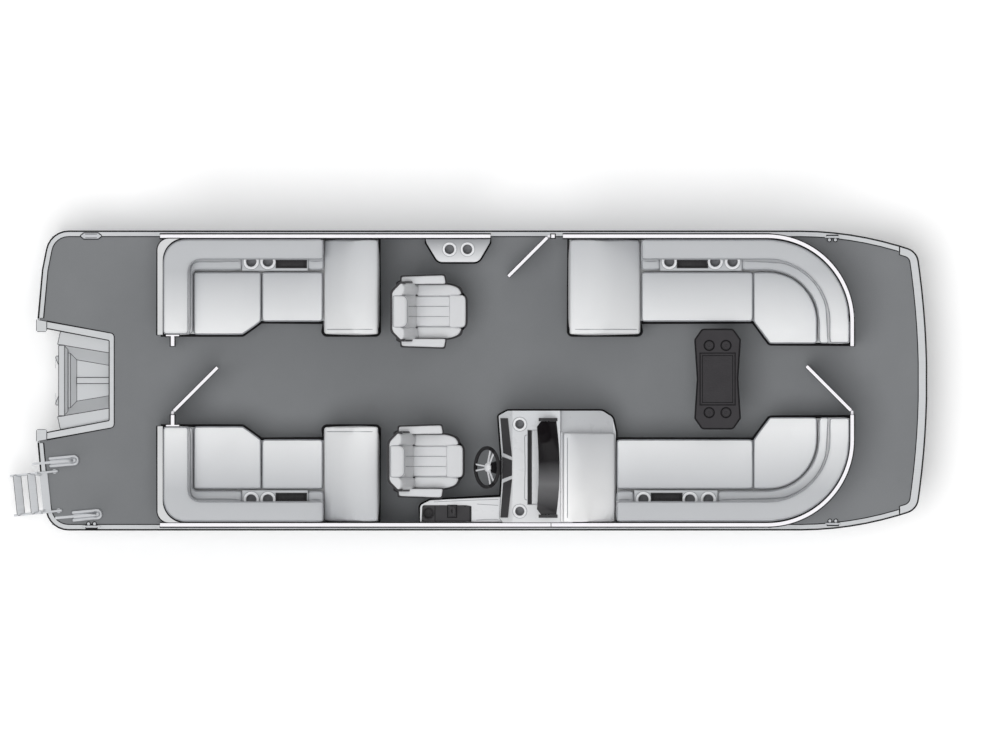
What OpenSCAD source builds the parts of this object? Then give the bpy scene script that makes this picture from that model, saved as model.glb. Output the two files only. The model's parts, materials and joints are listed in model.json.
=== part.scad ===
/* [Hull] */
// Height of the deck surface above the keel bottoms
deck_z = 780; // [760:5:800]
// Outside diameter of each float tube
tube_d = 610; // [590:5:620]
// Distance of each float tube from the centreline
tube_y = 950; // [940:5:960]
// Depth of the keel under each tube
keel_h = 32; // [20:1:40]
// Thickness of the deck board
deck_t = 20; // [16:1:24]
// Height of the cross-members under the deck
beam_h = 75; // [65:5:80]
// Spacing of the cross-members
beam_pitch = 406; // [380:1:410]
// Width of the edge trim seen from above
trim_w = 43; // [35:1:50]
// Width of the edge trim at the bow
bow_trim_w = 68; // [60:1:75]
// Depth of the edge trim skirt
skirt_h = 92; // [80:1:100]

/* [Fences and gates] */
// Height of the fence top above the deck
fence_h = 682; // [640:2:700]
// Side of the square fence tube
fence_tube = 30; // [26:1:32]
// Distance of the fence tube centre from the centreline
fence_y = 1255; // [1253:1:1257]
// Thickness of the fence and gate panels
panel_t = 4; // [3:1:6]
// Depth of a gate frame tube
gate_tube = 26; // [22:1:28]
// Opening angle of the gates as they stand
gate_open = 45; // [5:5:85]

/* [Seats] */
// Height of the seat bases
base_h = 330; // [300:5:340]
// Thickness of the seat cushions
cushion_t = 110; // [90:5:120]
// Height of the shelf between seat and backrest
shelf_h = 482; // [475:1:490]
// Height of the backrest tops
back_h = 695; // [680:5:710]
// Distance of the chair seat top above the deck
chair_seat_h = 520; // [510:5:530]

/* [Console and table] */
// Height of the helm console top
console_h = 860; // [840:5:880]
// Height of the side console top
side_h = 620; // [600:5:625]
// Height of the table top
table_h = 640; // [600:5:660]
// Diameter of the steering wheel
wheel_d = 373; // [350:1:380]
// Tilt of the steering column from the vertical
wheel_tilt = 54; // [50:1:58]
// Slope of the boarding ladder below the horizontal
ladder_slope = 68; // [60:1:69]

/* [Hidden] */
$fn = 64;

vinyl = [0.82, 0.82, 0.84];
white = [0.97, 0.96, 0.97];
trim = [0.84, 0.85, 0.86];
dark = [0.24, 0.24, 0.25];
alloy = [0.78, 0.79, 0.81];

half_beam = 1295;
beam_w = 50;
beam_t = 5;
beam_top = deck_z - deck_t;
beam_bottom = beam_top - beam_h;
tube_z = keel_h + tube_d / 2;
lip = 4;
wall = 8;
gap = 0.4;

// [x, y, r] corner lists run anticlockwise; r is the corner's radius
function xy(p) = [p[0], p[1]];
function unit(v) = v / norm(v);
function nxt(q, i) = q[(i + 1) % len(q)];
function prv(q, i) = q[(i + len(q) - 1) % len(q)];
function turn(a) = a > 180 ? a - 360 : (a < -180 ? a + 360 : a);
function fillet(p, a, b, n) =
    let (c0 = xy(p), u = unit(xy(a) - c0), v = unit(xy(b) - c0),
        h = acos(max(-1, min(1, u * v))) / 2,
        c = c0 + unit(u + v) * p[2] / sin(h),
        s = c0 + u * p[2] / tan(h) - c, e = c0 + v * p[2] / tan(h) - c,
        a0 = atan2(s[1], s[0]), d = turn(atan2(e[1], e[0]) - a0))
    [for (i = [0:n]) c + p[2] * [cos(a0 + d * i / n), sin(a0 + d * i / n)]];
function rounded(q, n = 6) =
    [for (i = [0:len(q) - 1]) each q[i][2] > 0 ? fillet(q[i], prv(q, i), nxt(q, i), n) : [xy(q[i])]];
function meet(p, u, q, v) = p + u * (cross(q - p, v) / cross(u, v));
function inset_corner(p, a, b, d) =
    let (u = unit(xy(p) - xy(a)), v = unit(xy(b) - xy(p)), k = cross(u, v),
        nu = [-u[1], u[0]] * d, nv = [-v[1], v[0]] * d,
        h = abs(k) < 0.002 ? xy(p) + nu : meet(xy(p) + nu, u, xy(p) + nv, v))
    [h[0], h[1], p[2] == 0 ? 0 : max(0, p[2] - sign(k) * d)];
function inset(q, d) = [for (i = [0:len(q) - 1]) inset_corner(q[i], prv(q, i), nxt(q, i), d)];
function flip(q) = [for (i = [len(q) - 1:-1:0]) [q[i][0], -q[i][1], q[i][2]]];
function arc(c, r, a0, a1, n) =
    [for (i = [0:n]) [c[0] + r * cos(a0 + (a1 - a0) * i / n), c[1] + r * sin(a0 + (a1 - a0) * i / n), 0]];
function box4(x0, x1, y0, y1, r = 0) = [[x0, y0, r], [x1, y0, r], [x1, y1, r], [x0, y1, r]];

// Deck plan: bow front and bow flare are wide arcs
bow_x = 3983;
bow_r = 7250;
flare_x = 2884;
flare_r = 2890;
stern_x = -3736;
well_y = 516;
function bow_edge(y) = [bow_x - y * y / (2 * bow_r), y, 0];
function flare_edge(x) = [x, half_beam - pow(x - flare_x, 2) / (2 * flare_r), 0];
port_edge = concat([for (i = [1:6]) bow_edge(i * 158)], [[3897, 1119, 130]],
    [for (i = [0:6]) flare_edge(3740 - i * 140)], [[-3632, half_beam, 190], [-3698, 961, 0],
    [-3723, 700, 0], [stern_x, 543, 0]]);
well_edge = [[-3079, 408, 35], [-3665, well_y, 0], [-3800, 541, 0]];
notch = concat(flip(well_edge), well_edge);
perimeter = concat(port_edge, flip(port_edge));

module at_deck() translate([0, 0, deck_z]) children();
module both() { children(); mirror([0, 1, 0]) children(); }
module slab(q, z0, z1, n = 6) translate([0, 0, z0]) linear_extrude(z1 - z0) polygon(rounded(q, n));
module block(x0, x1, y0, y1, z0, z1) translate([x0, y0, z0]) cube([x1 - x0, y1 - y0, z1 - z0]);
module rod(x, y, z0, z1, r) translate([x, y, z0]) cylinder(h = z1 - z0, r = r);
module along_x(x0, x1) translate([x0, 0, 0]) rotate([90, 0, 90]) linear_extrude(x1 - x0) children();
module along_y(y0, y1) translate([0, y1, 0]) rotate([90, 0, 0]) linear_extrude(y1 - y0) children();

// ---- Hull ----
nose_from = 2480;
nose_l = 1240;
nose_tilt = 9;
collar_w = 96;
tube_from = -3620;

// Bullet nose turned up a little from the tube; a collar covers the joint
module nose(r) {
    ogive = (r * r + nose_l * nose_l) / (2 * r);
    translate([nose_from, 0, tube_z]) rotate([0, 90 - nose_tilt, 0]) rotate_extrude($fn = 96) intersection() {
        translate([r - ogive, 0]) circle(r = ogive, $fn = 360);
        square([r, nose_l - 25]);
    }
}

module pontoon() {
    r = tube_d / 2;
    union() {
        translate([tube_from, 0, tube_z]) rotate([0, 90, 0])
            cylinder(h = nose_from - tube_from, r = r, $fn = 96);
        nose(r - 6);
        translate([nose_from - collar_w / 2 + 4, 0, tube_z]) rotate([0, 90, 0])
            cylinder(h = collar_w, r = r + 6, $fn = 96);
        block(-3450, nose_from - 80, -20, 20, 0, keel_h + 6);
        for (s = [-1, 1]) along_x(-3400, nose_from - 150)
            polygon([[s * (r - 40), tube_z - 108], [s * (r + 34), tube_z - 118], [s * (r - 60), tube_z - 160]]);
        for (s = [-1, 1]) block(-3560, 2600, s * 105 - 4, s * 105 + 4, tube_z + r - 40, beam_bottom);
        for (s = [-1, 1]) block(-3560, 2600, s * 105 - 25, s * 105 + 25, beam_bottom - 6, beam_bottom);
        for (s = [-1, 1]) block(3080, 3200, s * 60 - 5, s * 60 + 5, tube_z + 180, beam_bottom);
        block(3080, 3200, -65, 65, beam_bottom - 6, beam_bottom);
    }
}

module port_pontoon() color(alloy) translate([0, tube_y, 0]) pontoon();
module starboard_pontoon() color(alloy) translate([0, -tube_y, 0]) pontoon();

module channel(y0, y1) along_y(y0, y1) difference() {
    translate([-beam_w / 2, beam_bottom]) square([beam_w, beam_h]);
    translate([-beam_w / 2 + beam_t, beam_bottom + beam_t]) square([beam_w, beam_h - 2 * beam_t]);
}

module cross_members() color(alloy) {
    for (i = [0:16]) translate([-2960 + i * beam_pitch, 0, 0]) channel(i > 14 ? -1120 : -1240, i > 14 ? 1120 : 1240);
    for (x = [-3560, -3260]) both() translate([x, 0, 0]) channel(560, 1240);
}

module deck() color([0.46, 0.47, 0.48]) difference() {
    slab(inset(perimeter, wall), beam_top, deck_z);
    slab(notch, beam_top - 1, deck_z + 1);
}

module trim_ring(w) at_deck() {
    difference() {
        slab(perimeter, -skirt_h, lip);
        slab(inset(perimeter, wall), -skirt_h - 1, 0);
        slab(inset(perimeter, w), -skirt_h - 1, lip + 1);
    }
}
module port_edge_trim() color(trim) intersection() {
    trim_ring(trim_w);
    block(-3800, 3750, 543, 1400, 0, 900);
}
module starboard_edge_trim() color(trim) mirror([0, 1, 0]) intersection() {
    trim_ring(trim_w);
    block(-3800, 3750, 543, 1400, 0, 900);
}
module bow_edge_trim() color(trim) intersection() {
    trim_ring(bow_trim_w);
    block(3750, 4100, -1400, 1400, 0, 900);
}

module stern_castings() color(trim) at_deck() both()
    slab([[-3755, 425, 8], [-3666, 425, 8], [-3666, 514, 0], [-3735, 527, 0], [-3735, 541, 0], [-3755, 541, 14]],
        -skirt_h, 12);

well_outer = [[-3664, -515, 0], [-3079, -407, 35], [-3079, 407, 35], [-3664, 515, 0]];
well_inner = [[-3664, -452, 0], [-3122, -349, 12], [-3122, 349, 12], [-3664, 452, 0]];
module motor_well_trim() color(trim) at_deck() difference() {
    slab(well_outer, -skirt_h, lip);
    slab(concat([[-3700, -460, 0]], well_inner, [[-3700, 460, 0]]), -skirt_h - 1, lip + 1);
}

// ---- Motor pod and transom ----
pod_bottom = 200;
ledge_z = -40;
well_floor = -190;
well_front = -3124;
transom_aft = -3562;
transom_fore = -3511;
transom_half = 306;
bolt_r = 6.5;
upper_bolts = 163.5;
lower_bolts = 125.4;
// Sloping side of the tub: the wedge's foot follows the floor edge, its top the ledge
module well_side() translate([-3404, 180, well_floor]) rotate([0, 0, -9.5])
    along_x(-400, 500) polygon([[-700, 0], [0, 0], [106, ledge_z - well_floor], [106, 300], [-700, 300]]);
module tub() intersection() {
    well_side();
    mirror([0, 1, 0]) well_side();
    along_y(-500, 500) polygon([[-3404, well_floor], [well_front, well_floor], [well_front, 100],
        [transom_fore, 100], [transom_fore, ledge_z - 4], [-3482, -82], [-3480, -123], [-3459, -123]]);
}
module transom_bolts(x0, x1) for (s = [-1, 1]) {
    translate([x0, s * upper_bolts, ledge_z - 50]) rotate([0, 90, 0]) cylinder(h = x1 - x0, r = bolt_r);
    translate([x0, s * lower_bolts, ledge_z - 250]) rotate([0, 90, 0]) cylinder(h = x1 - x0, r = bolt_r);
}
pod_top = [[-3546, 427, 0], [-3571, 314, 0], [transom_fore, 308, 0], [transom_fore, -308, 0],
    [-3571, -314, 0], [-3546, -427, 0], [well_front + 1, -349, 12], [well_front + 1, 349, 12]];
module pod_hull() difference() {
    along_x(transom_fore, -2500) polygon([[-120, pod_bottom - deck_z], [120, pod_bottom - deck_z],
        [300, -400], [340, -skirt_h - 4], [-340, -skirt_h - 4], [-300, -400]]);
    translate([-2500, 0, -skirt_h - 60]) rotate([0, 52, 0]) block(-60, 900, -500, 500, -900, 0);
}
module motor_pod() color(trim) at_deck() difference() {
    union() {
        slab(flip(pod_top), -230, ledge_z);
        pod_hull();
        block(-3404, well_front - 1, -26, 26, well_floor - 20, well_floor + 1);
    }
    difference() {
        tub();
        block(-3404, well_front, -26, 26, well_floor - 1, well_floor + 12);
    }
    transom_bolts(-3600, -3300);
}
module transom() color(trim) at_deck() difference() {
    union() {
        block(transom_aft, transom_fore, -transom_half, transom_half, -440, ledge_z);
        block(transom_aft, transom_fore, -150, 150, -560, -440);
        for (s = [-1, 1]) mirror([0, s < 0 ? 1 : 0, 0])
            slab([[transom_aft + 2, 129, 0], [transom_aft + 2, 213, 0], [-3588, 213, 4], [-3586, 190, 4]],
                ledge_z - 30, ledge_z - 22);
    }
    transom_bolts(-3600, -3480);
}

// Horn cleat with two feet set inboard of its bar
module cleat(x, y, l) translate([x, y, lip]) union() {
    translate([-l / 2 + 8, 0, 36]) rotate([0, 90, 0]) cylinder(h = l - 16, r = 8);
    for (s = [-1, 1]) translate([s * (l / 2 - 8), 0, 36]) sphere(r = 8, $fn = 32);
    for (u = [-26, 26]) {
        translate([u, -6, 0]) cylinder(h = 36, r = 8);
        translate([u, -22, 0]) cylinder(h = 7, r = 13);
        block(u - 8, u + 8, -22, 0, 0, 7);
    }
    block(-48, 48, -4, 14, 0, 5);
}
// Folding cleat lying shut in its long hexagonal plate
module flush_cleat(x, y) translate([x, y, lip]) union() {
    slab([[-92, 0, 6], [-62, -24, 6], [62, -24, 6], [92, 0, 6], [62, 24, 6], [-62, 24, 6]], 0, 6);
    slab([[-60, -13, 10], [60, -13, 10], [60, 13, 10], [-60, 13, 10]], 5, 16);
}
module cleats() color(alloy) at_deck() {
    flush_cleat(-3280, 1257);
    mirror([0, 1, 0]) cleat(-3276, 1268, 160);
    cleat(3166, 1245, 132);
    mirror([0, 1, 0]) cleat(3170, 1243, 132);
}

// ---- Handrails and ladder ----
ladder_x = -3558;
ladder_y = -959;
ladder_yaw = 6;
ladder_half = 172;
ladder_z = 22;
hinge_u = 178;
ladder_hinge_z = 50;
rail_r = 11;
ladder_end = 404;
ladder_drop = tan(ladder_slope);

// Cane-shaped grab rail standing in a U-shaped foot; x runs forward from the deck edge
module grab_rail(x, y) translate([x, y, 0]) rotate([0, 0, 5.2]) {
    foot_r = 15;
    half = 33;
    top = 560;
    bend = 80;
    for (s = [-1, 1]) translate([0, s * half, foot_r]) {
        rotate([0, 90, 0]) cylinder(h = 205, r = foot_r);
        sphere(r = foot_r, $fn = 48);
    }
    translate([205, 0, foot_r]) rotate([0, 0, -90]) rotate_extrude(angle = 180) translate([half, 0]) circle(r = foot_r);
    block(0, 235, -half, half, 0, 5);
    translate([190, 0, 4]) cylinder(h = top - bend - 4, r = rail_r);
    translate([190 - bend, 0, top - bend]) rotate([90, 0, 0]) rotate_extrude(angle = 90)
        translate([bend, 0]) circle(r = rail_r);
    translate([-70, 0, top]) rotate([0, 90, 0]) cylinder(h = 260 - bend, r = rail_r);
    translate([-70, 0, top - bend]) rotate([90, 0, 0]) rotate([0, 0, 90]) rotate_extrude(angle = 90)
        translate([bend, 0]) circle(r = rail_r);
    translate([-70 - bend, 0, top - bend - 90]) cylinder(h = 90, r = rail_r);
    translate([-70 - bend, 0, top - bend - 90]) sphere(r = rail_r, $fn = 48);
}
module handrails() color(alloy) at_deck() {
    grab_rail(-3634, -712);
    grab_rail(-3432, -1181);
}
module ladder_frame() at_deck() translate([ladder_x, ladder_y, 0]) rotate([0, 0, ladder_yaw]) children();
module each_rail() for (s = [-1, 1]) translate([0, s * ladder_half, 0]) children();
// Fixed part: two short rails on the deck, the top tread and the hinge lugs
module ladder_base() color(alloy) ladder_frame() union() {
    each_rail() {
        translate([-160, 0, ladder_z]) rotate([0, 90, 0]) cylinder(h = 160, r = rail_r);
        translate([0, 0, ladder_z]) sphere(r = rail_r, $fn = 48);
        translate([-22, 0, 0]) cylinder(h = ladder_z, r = 9);
        translate([-22, 0, 0]) cylinder(h = 5, r = 20);
        translate([-96, 0, lip]) cylinder(h = ladder_z - lip, r = 9);
    }
    block(-155, -86, -ladder_half, ladder_half, ladder_z - 6, ladder_z + 7);
    for (s = [-1, 1]) {
        translate([0, s * (ladder_half - 19) - 3, 0]) rotate([90, 0, 0]) mirror([0, 0, 1]) linear_extrude(6)
            polygon([[-150, ladder_z - 8], [-190, ladder_hinge_z - 12], [-190, ladder_hinge_z + 12], [-166, ladder_hinge_z + 12],
                [-130, ladder_z + 8], [-130, ladder_z - 8]]);
        translate([-hinge_u, s * ladder_half - (s > 0 ? 20 : -20 + 30), ladder_hinge_z]) rotate([-90, 0, 0])
            cylinder(h = 30, r = pin_r);
    }
}
module drop_rails(r) translate([-hinge_u, 0, ladder_hinge_z]) rotate([0, -ladder_slope, 0]) each_rail()
    translate([(hinge_u - ladder_end) / cos(ladder_slope), 0, 0]) rotate([0, 90, 0])
        cylinder(h = (ladder_end - hinge_u) / cos(ladder_slope), r = r);
module ladder_rails() color(alloy) ladder_frame() difference() {
    union() {
        drop_rails(rail_r);
        each_rail() translate([-hinge_u, -13, ladder_hinge_z]) rotate([-90, 0, 0]) cylinder(h = 26, r = 16);
    }
    each_rail() translate([-hinge_u, -20, ladder_hinge_z]) rotate([-90, 0, 0]) cylinder(h = 40, r = pin_r + gap);
}
module ladder_treads() color(alloy) ladder_frame() difference() {
    for (u = [227, 350]) translate([-u, 0, ladder_hinge_z - (u - hinge_u) * ladder_drop])
        slab(box4(-34, 34, -ladder_half - 4, ladder_half + 4, 6), -11, 11);
    drop_rails(rail_r);
}

// ---- Fences ----
fence_foot = 25;
arc_x = 2598;
arc_y = 514.5;
fence_r = fence_y - arc_y;
fence_end_y = 300;
module rail_x(x0, x1, z) block(x0, x1, fence_y - fence_tube / 2, fence_y + fence_tube / 2, z, z + fence_tube);
module fence_post(x) {
    block(x - fence_tube / 2, x + fence_tube / 2, fence_y - fence_tube / 2, fence_y + fence_tube / 2, lip, fence_h);
}
module straight_fence(x0, x1, posts) union() {
    rail_x(x0, x1, fence_foot);
    rail_x(x0, x1, fence_h - fence_tube);
    for (x = posts) fence_post(x);
}
module bow_corner() union() {
    for (z = [fence_foot, fence_h - fence_tube]) {
        translate([arc_x, arc_y, z]) rotate_extrude(angle = 90)
            translate([fence_r - fence_tube / 2, 0]) square(fence_tube);
        translate([arc_x + fence_r - fence_tube / 2, fence_end_y, z])
            cube([fence_tube, arc_y - fence_end_y, fence_tube]);
    }
    translate([arc_x + fence_r - fence_tube / 2, fence_end_y, lip]) cube([fence_tube, fence_tube, fence_h - lip]);
    translate([arc_x, arc_y, 0]) rotate([0, 0, 45]) translate([fence_r - fence_tube / 2, -fence_tube / 2, lip])
        cube([fence_tube, fence_tube, fence_h - lip]);
}
port_aft_posts = [-2665, -1950, -1235, -520, 178];
port_bow_posts = [839, 1425, 2011, 2597];
starboard_posts = [-2665, -1950, -1235, -520, 100, 719, 1345, 1971, 2597];
module port_aft_fence() color(white) at_deck() straight_fence(-2680, 193, port_aft_posts);
module port_bow_fence() color(white) at_deck() union() {
    straight_fence(824, arc_x, port_bow_posts);
    bow_corner();
}
module starboard_fence() color(white) at_deck() mirror([0, 1, 0]) union() {
    straight_fence(-2680, arc_x, starboard_posts);
    bow_corner();
}
module fence_sheets(posts) for (i = [0:len(posts) - 2])
    block(posts[i] + fence_tube / 2, posts[i + 1] - fence_tube / 2, fence_y - panel_t / 2, fence_y + panel_t / 2,
        fence_foot + fence_tube, fence_h - fence_tube);
module corner_sheets() {
    h = fence_h - fence_foot - 2 * fence_tube;
    for (a = [1.3, 46.3]) translate([arc_x, arc_y, fence_foot + fence_tube]) rotate([0, 0, a])
        rotate_extrude(angle = 42.4) translate([fence_r - panel_t / 2, 0]) square([panel_t, h]);
    translate([arc_x + fence_r - panel_t / 2, fence_end_y + fence_tube, fence_foot + fence_tube])
        cube([panel_t, arc_y - fence_end_y - fence_tube - 1, h]);
}
module fence_panels() color([0.9, 0.9, 0.92]) at_deck() {
    fence_sheets(port_aft_posts);
    fence_sheets(port_bow_posts);
    corner_sheets();
    mirror([0, 1, 0]) {
        fence_sheets(starboard_posts);
        corner_sheets();
    }
}

// ---- Gates ----
hinge_r = 11;
pin_r = 6;
knuckle_z = [120, 520];
knuckle_h = 50;
gate_z0 = 30;
gate_z1 = fence_h - 7;
stern_gate_x = -2571;
bow_gate_x = 3338;
gate_y = -271;
side_gate_x = 698;
bow_gate_l = 560;
stern_gate_l = 552;
side_gate_l = 494;

module gate_frame(l) difference() {
    union() {
        for (u = [16, l - gate_tube]) block(u, u + gate_tube, -gate_tube / 2, gate_tube / 2, gate_z0, gate_z1);
        for (z = [gate_z0, gate_z1 - gate_tube]) block(16, l, -gate_tube / 2, gate_tube / 2, z, z + gate_tube);
        for (z = knuckle_z) {
            rod(0, 0, z, z + knuckle_h, hinge_r);
            block(0, 17, -5, 5, z, z + knuckle_h);
        }
    }
    for (z = knuckle_z) rod(0, 0, z - 1, z + knuckle_h + 1, pin_r + gap);
}
module gate_panel(l) block(16 + gate_tube, l - gate_tube, -panel_t / 2, panel_t / 2,
    gate_z0 + gate_tube, gate_z1 - gate_tube);
// Lugs reach from the post, which is at u = -reach, to the hinge pin
module gate_lugs(reach) for (z = knuckle_z) {
    for (k = [z - 9, z + knuckle_h + 1]) {
        rod(0, 0, k, k + 8, hinge_r);
        block(-reach, 0, -hinge_r, hinge_r, k, k + 8);
    }
    rod(0, 0, z - 9, z + knuckle_h + 9, pin_r);
}
module bow_gate_at(a) at_deck() translate([bow_gate_x, gate_y, 0]) rotate([0, 0, 90 + a]) children();
module stern_gate_at(a) at_deck() translate([stern_gate_x, gate_y - 5, 0]) rotate([0, 0, 90 - a]) children();
module side_gate_at(a) at_deck() translate([side_gate_x, fence_y, 0]) rotate([0, 0, 180 + a]) children();
module bow_gate_frame() color(white) bow_gate_at(gate_open) gate_frame(bow_gate_l);
module bow_gate_panel() color([0.9, 0.9, 0.92]) bow_gate_at(gate_open) gate_panel(bow_gate_l);
module side_gate_frame() color(white) side_gate_at(gate_open) gate_frame(side_gate_l);
module side_gate_panel() color([0.9, 0.9, 0.92]) side_gate_at(gate_open) gate_panel(side_gate_l);
module stern_gate_frame() color(white) stern_gate_at(gate_open) gate_frame(stern_gate_l);
module stern_gate_panel() color([0.9, 0.9, 0.92]) stern_gate_at(gate_open) gate_panel(stern_gate_l);
module gate_posts() color(white) {
    union() {
        side_gate_at(0) gate_lugs(24);
        at_deck() block(side_gate_x + 24, side_gate_x + 54, fence_y - 15, fence_y + 15, lip, fence_h);
    }
    bow_gate_at(0) gate_lugs(29);
    union() {
        stern_gate_at(0) gate_lugs(24);
        at_deck() block(stern_gate_x - 15, stern_gate_x + 15, -330, -300, 0, fence_h);
        at_deck() block(stern_gate_x - 15, stern_gate_x + 15, -386, -330, fence_h - 30, fence_h);
        at_deck() block(stern_gate_x - 57, stern_gate_x + 57, -398, -386, fence_h - 80, fence_h);
    }
    at_deck() {
        block(stern_gate_x - 15, stern_gate_x + 15, 300, 330, 0, fence_h);
        block(stern_gate_x - 15, stern_gate_x + 15, 330, 386, fence_h - 30, fence_h);
        block(stern_gate_x - 57, stern_gate_x + 57, 386, 398, fence_h - 80, fence_h);
    }
}

// ---- Lounges ----
seat_z0 = base_h + 4;
seat_z1 = seat_z0 + cushion_t;
back_y = 1230;
cap_y = 1049;
shelf_y = 956;
lid_rear = 944;
front_y = 515;
end_aft = 400;
end_bow = 323;
aft_x0 = -2655;
aft_x1 = -778;
aft_chaise = -1258;
aft_split = -1800;
bow_x0 = 876;
bow_chaise = 1500;
bow_split = 2479;
console_x1 = 1285;
jog_aft = -1960;
jog_bow = 2621;
corner_x = 2600;
corner_y = 512;
back_ro = 716;
cap_r = 537;
shelf_r = 444;
seat_r = 433;
aft_front = [[aft_x0, end_aft, 0], [jog_aft, end_aft, 30], [aft_split, front_y, 30], [aft_chaise, front_y, 0],
    [aft_chaise, end_aft, 30], [aft_x1, end_aft, 30]];
aft_plan = concat(aft_front, [[aft_x1, back_y, 0], [aft_x0, back_y, 188]]);
function bow_plan(x0, chaise) = concat([[x0, back_y, 0], [x0, chaise ? end_aft : front_y, chaise ? 30 : 0]],
    chaise ? [[bow_chaise, end_aft, 30], [bow_chaise, front_y, 0]] : [],
    [[bow_split, front_y, 30], [jog_bow, end_bow, 30], [corner_x + back_ro, end_bow, 0]],
    arc([corner_x, corner_y], back_ro, 0, 90, 16));
function bow_band(x0, r, z) = concat(arc([corner_x, corner_y], back_ro, 0, 90, 16), [[x0, corner_y + back_ro, 0],
    [x0, corner_y + r, 0]], arc([corner_x, corner_y], r, 90, 0, 16), [[corner_x + r, end_bow, 0],
    [corner_x + back_ro, end_bow, 0]]);

module base_box(q, x0, x1) difference() {
    union() {
        slab(inset(q, 40), 0, 82);
        slab(inset(q, 6), 80, base_h);
    }
    block(x0 + 20, x1 - 20, front_y + 60, lid_rear - 20, 20, base_h + 1);
}
module port_aft_base() color(trim) at_deck() base_box(aft_plan, aft_split, aft_chaise);
module starboard_aft_base() color(trim) at_deck() mirror([0, 1, 0]) base_box(aft_plan, aft_split, aft_chaise);
module port_bow_base() color(trim) at_deck() base_box(bow_plan(bow_x0, true), bow_chaise, bow_split);
module starboard_bow_base() color(trim) at_deck() mirror([0, 1, 0])
    base_box(bow_plan(console_x1 + 2, false), console_x1, bow_split);

module lid(x0, x1) slab(box4(x0 + 6, x1 - 6, front_y, lid_rear, 20), seat_z0, seat_z1);
module port_aft_lid() color(vinyl) at_deck() lid(aft_split, aft_chaise);
module starboard_aft_lid() color(vinyl) at_deck() mirror([0, 1, 0]) lid(aft_split, aft_chaise);
module port_bow_lid() color(vinyl) at_deck() lid(bow_chaise, bow_split);
module starboard_bow_lid() color(vinyl) at_deck() mirror([0, 1, 0]) lid(console_x1, bow_split);

module aft_corner_seat() slab([[aft_split, front_y, 20], [aft_split, lid_rear, 10], [-2388, lid_rear, 20],
    [-2388, end_aft, 20], [jog_aft, end_aft, 20]], seat_z0, seat_z1);
module bow_corner_seat() slab(concat([[bow_split, lid_rear, 10], [bow_split, front_y, 20], [jog_bow, end_bow, 20],
    [corner_x + seat_r, end_bow, 20]], arc([corner_x, corner_y], seat_r, 0, 90, 12)), seat_z0, seat_z1);
module corner_seats() color(vinyl) at_deck() both() {
    aft_corner_seat();
    bow_corner_seat();
}

niche_h = 150;
niche_y = 1116;
module aft_back() difference() {
    union() {
        slab([[aft_x0, end_aft, 20], [-2431, end_aft, 20], [-2431, cap_y, 100], [aft_chaise, cap_y, 0],
            [aft_chaise, back_y, 0], [aft_x0, back_y, 188]], seat_z0, back_h, 10);
        slab([[aft_x0, end_aft, 20], [-2394, end_aft, 20], [-2394, shelf_y, 30], [aft_chaise, shelf_y, 0],
            [aft_chaise, back_y, 0], [aft_x0, back_y, 188]], seat_z0, shelf_h, 10);
    }
    block(-1966, -1394, shelf_y - 1, niche_y, seat_z0 - 1, shelf_h + niche_h);
}
module bow_back(x0, n0, n1) difference() {
    union() {
        slab(bow_band(x0, cap_r), seat_z0, back_h);
        slab(bow_band(x0, shelf_r), seat_z0, shelf_h);
    }
    block(n0, n1, shelf_y - 9, niche_y, seat_z0 - 1, shelf_h + niche_h);
}
module backrests() color(vinyl) at_deck() {
    both() aft_back();
    bow_back(bow_chaise + 1, 1668, 2378);
    mirror([0, 1, 0]) bow_back(console_x1 + 1, 1443, 2168);
}

cup_ro = 68;
cup_ri = 48;
cup_deep = 75;
cup_y = 1034;
module insert(x0, x1, cups, t0, t1) difference() {
    union() {
        block(x0 + 1, x1 - 1, shelf_y, niche_y - 1, seat_z0, shelf_h);
        for (x = cups) rod(x, cup_y, shelf_h - 5, shelf_h + 3, cup_ro);
    }
    for (x = cups) rod(x, cup_y, shelf_h - cup_deep, shelf_h + 10, cup_ri);
    block(t0, t1, 980, 1045, shelf_h - 40, shelf_h + 10);
}
module cup_inserts() color([0.78, 0.78, 0.8]) at_deck() {
    both() insert(-1966, -1394, [-1887, -1742], -1671, -1406);
    insert(1668, 2378, [1748, 2147, 2298], 1816, 2083);
    mirror([0, 1, 0]) insert(1443, 2168, [1523, 1928, 2087], 1590, 1859);
}

// Sloped face rises from the seat at x0 to the ridge at x1
module chaise(x0, x1) along_y(end_aft, back_y) polygon([[x0, seat_z0], [x0, seat_z1 + 10], [x0 + (x1 - x0) * 0.55, back_h - 12],
    [x0 + (x1 - x0) * 0.65, back_h], [x1 - sign(x1 - x0) * 20, back_h], [x1, back_h - 20], [x1, seat_z0]]);
module chaise_backs() color(vinyl) at_deck() {
    both() chaise(aft_chaise + 2, aft_x1);
    chaise(bow_chaise - 2, bow_x0);
}
module lounge_shells() color(trim) at_deck() both() difference() {
    slab([[-2702, 398, 0], [-2480, 398, 0], [-2480, 1234, 0], [-2702, 1234, 100]], 0, back_h - 8, 10);
    slab([[-2657, 390, 0], [-2400, 390, 0], [-2400, 1240, 0], [-2657, 1240, 195]], -1, back_h, 10);
}

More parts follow.
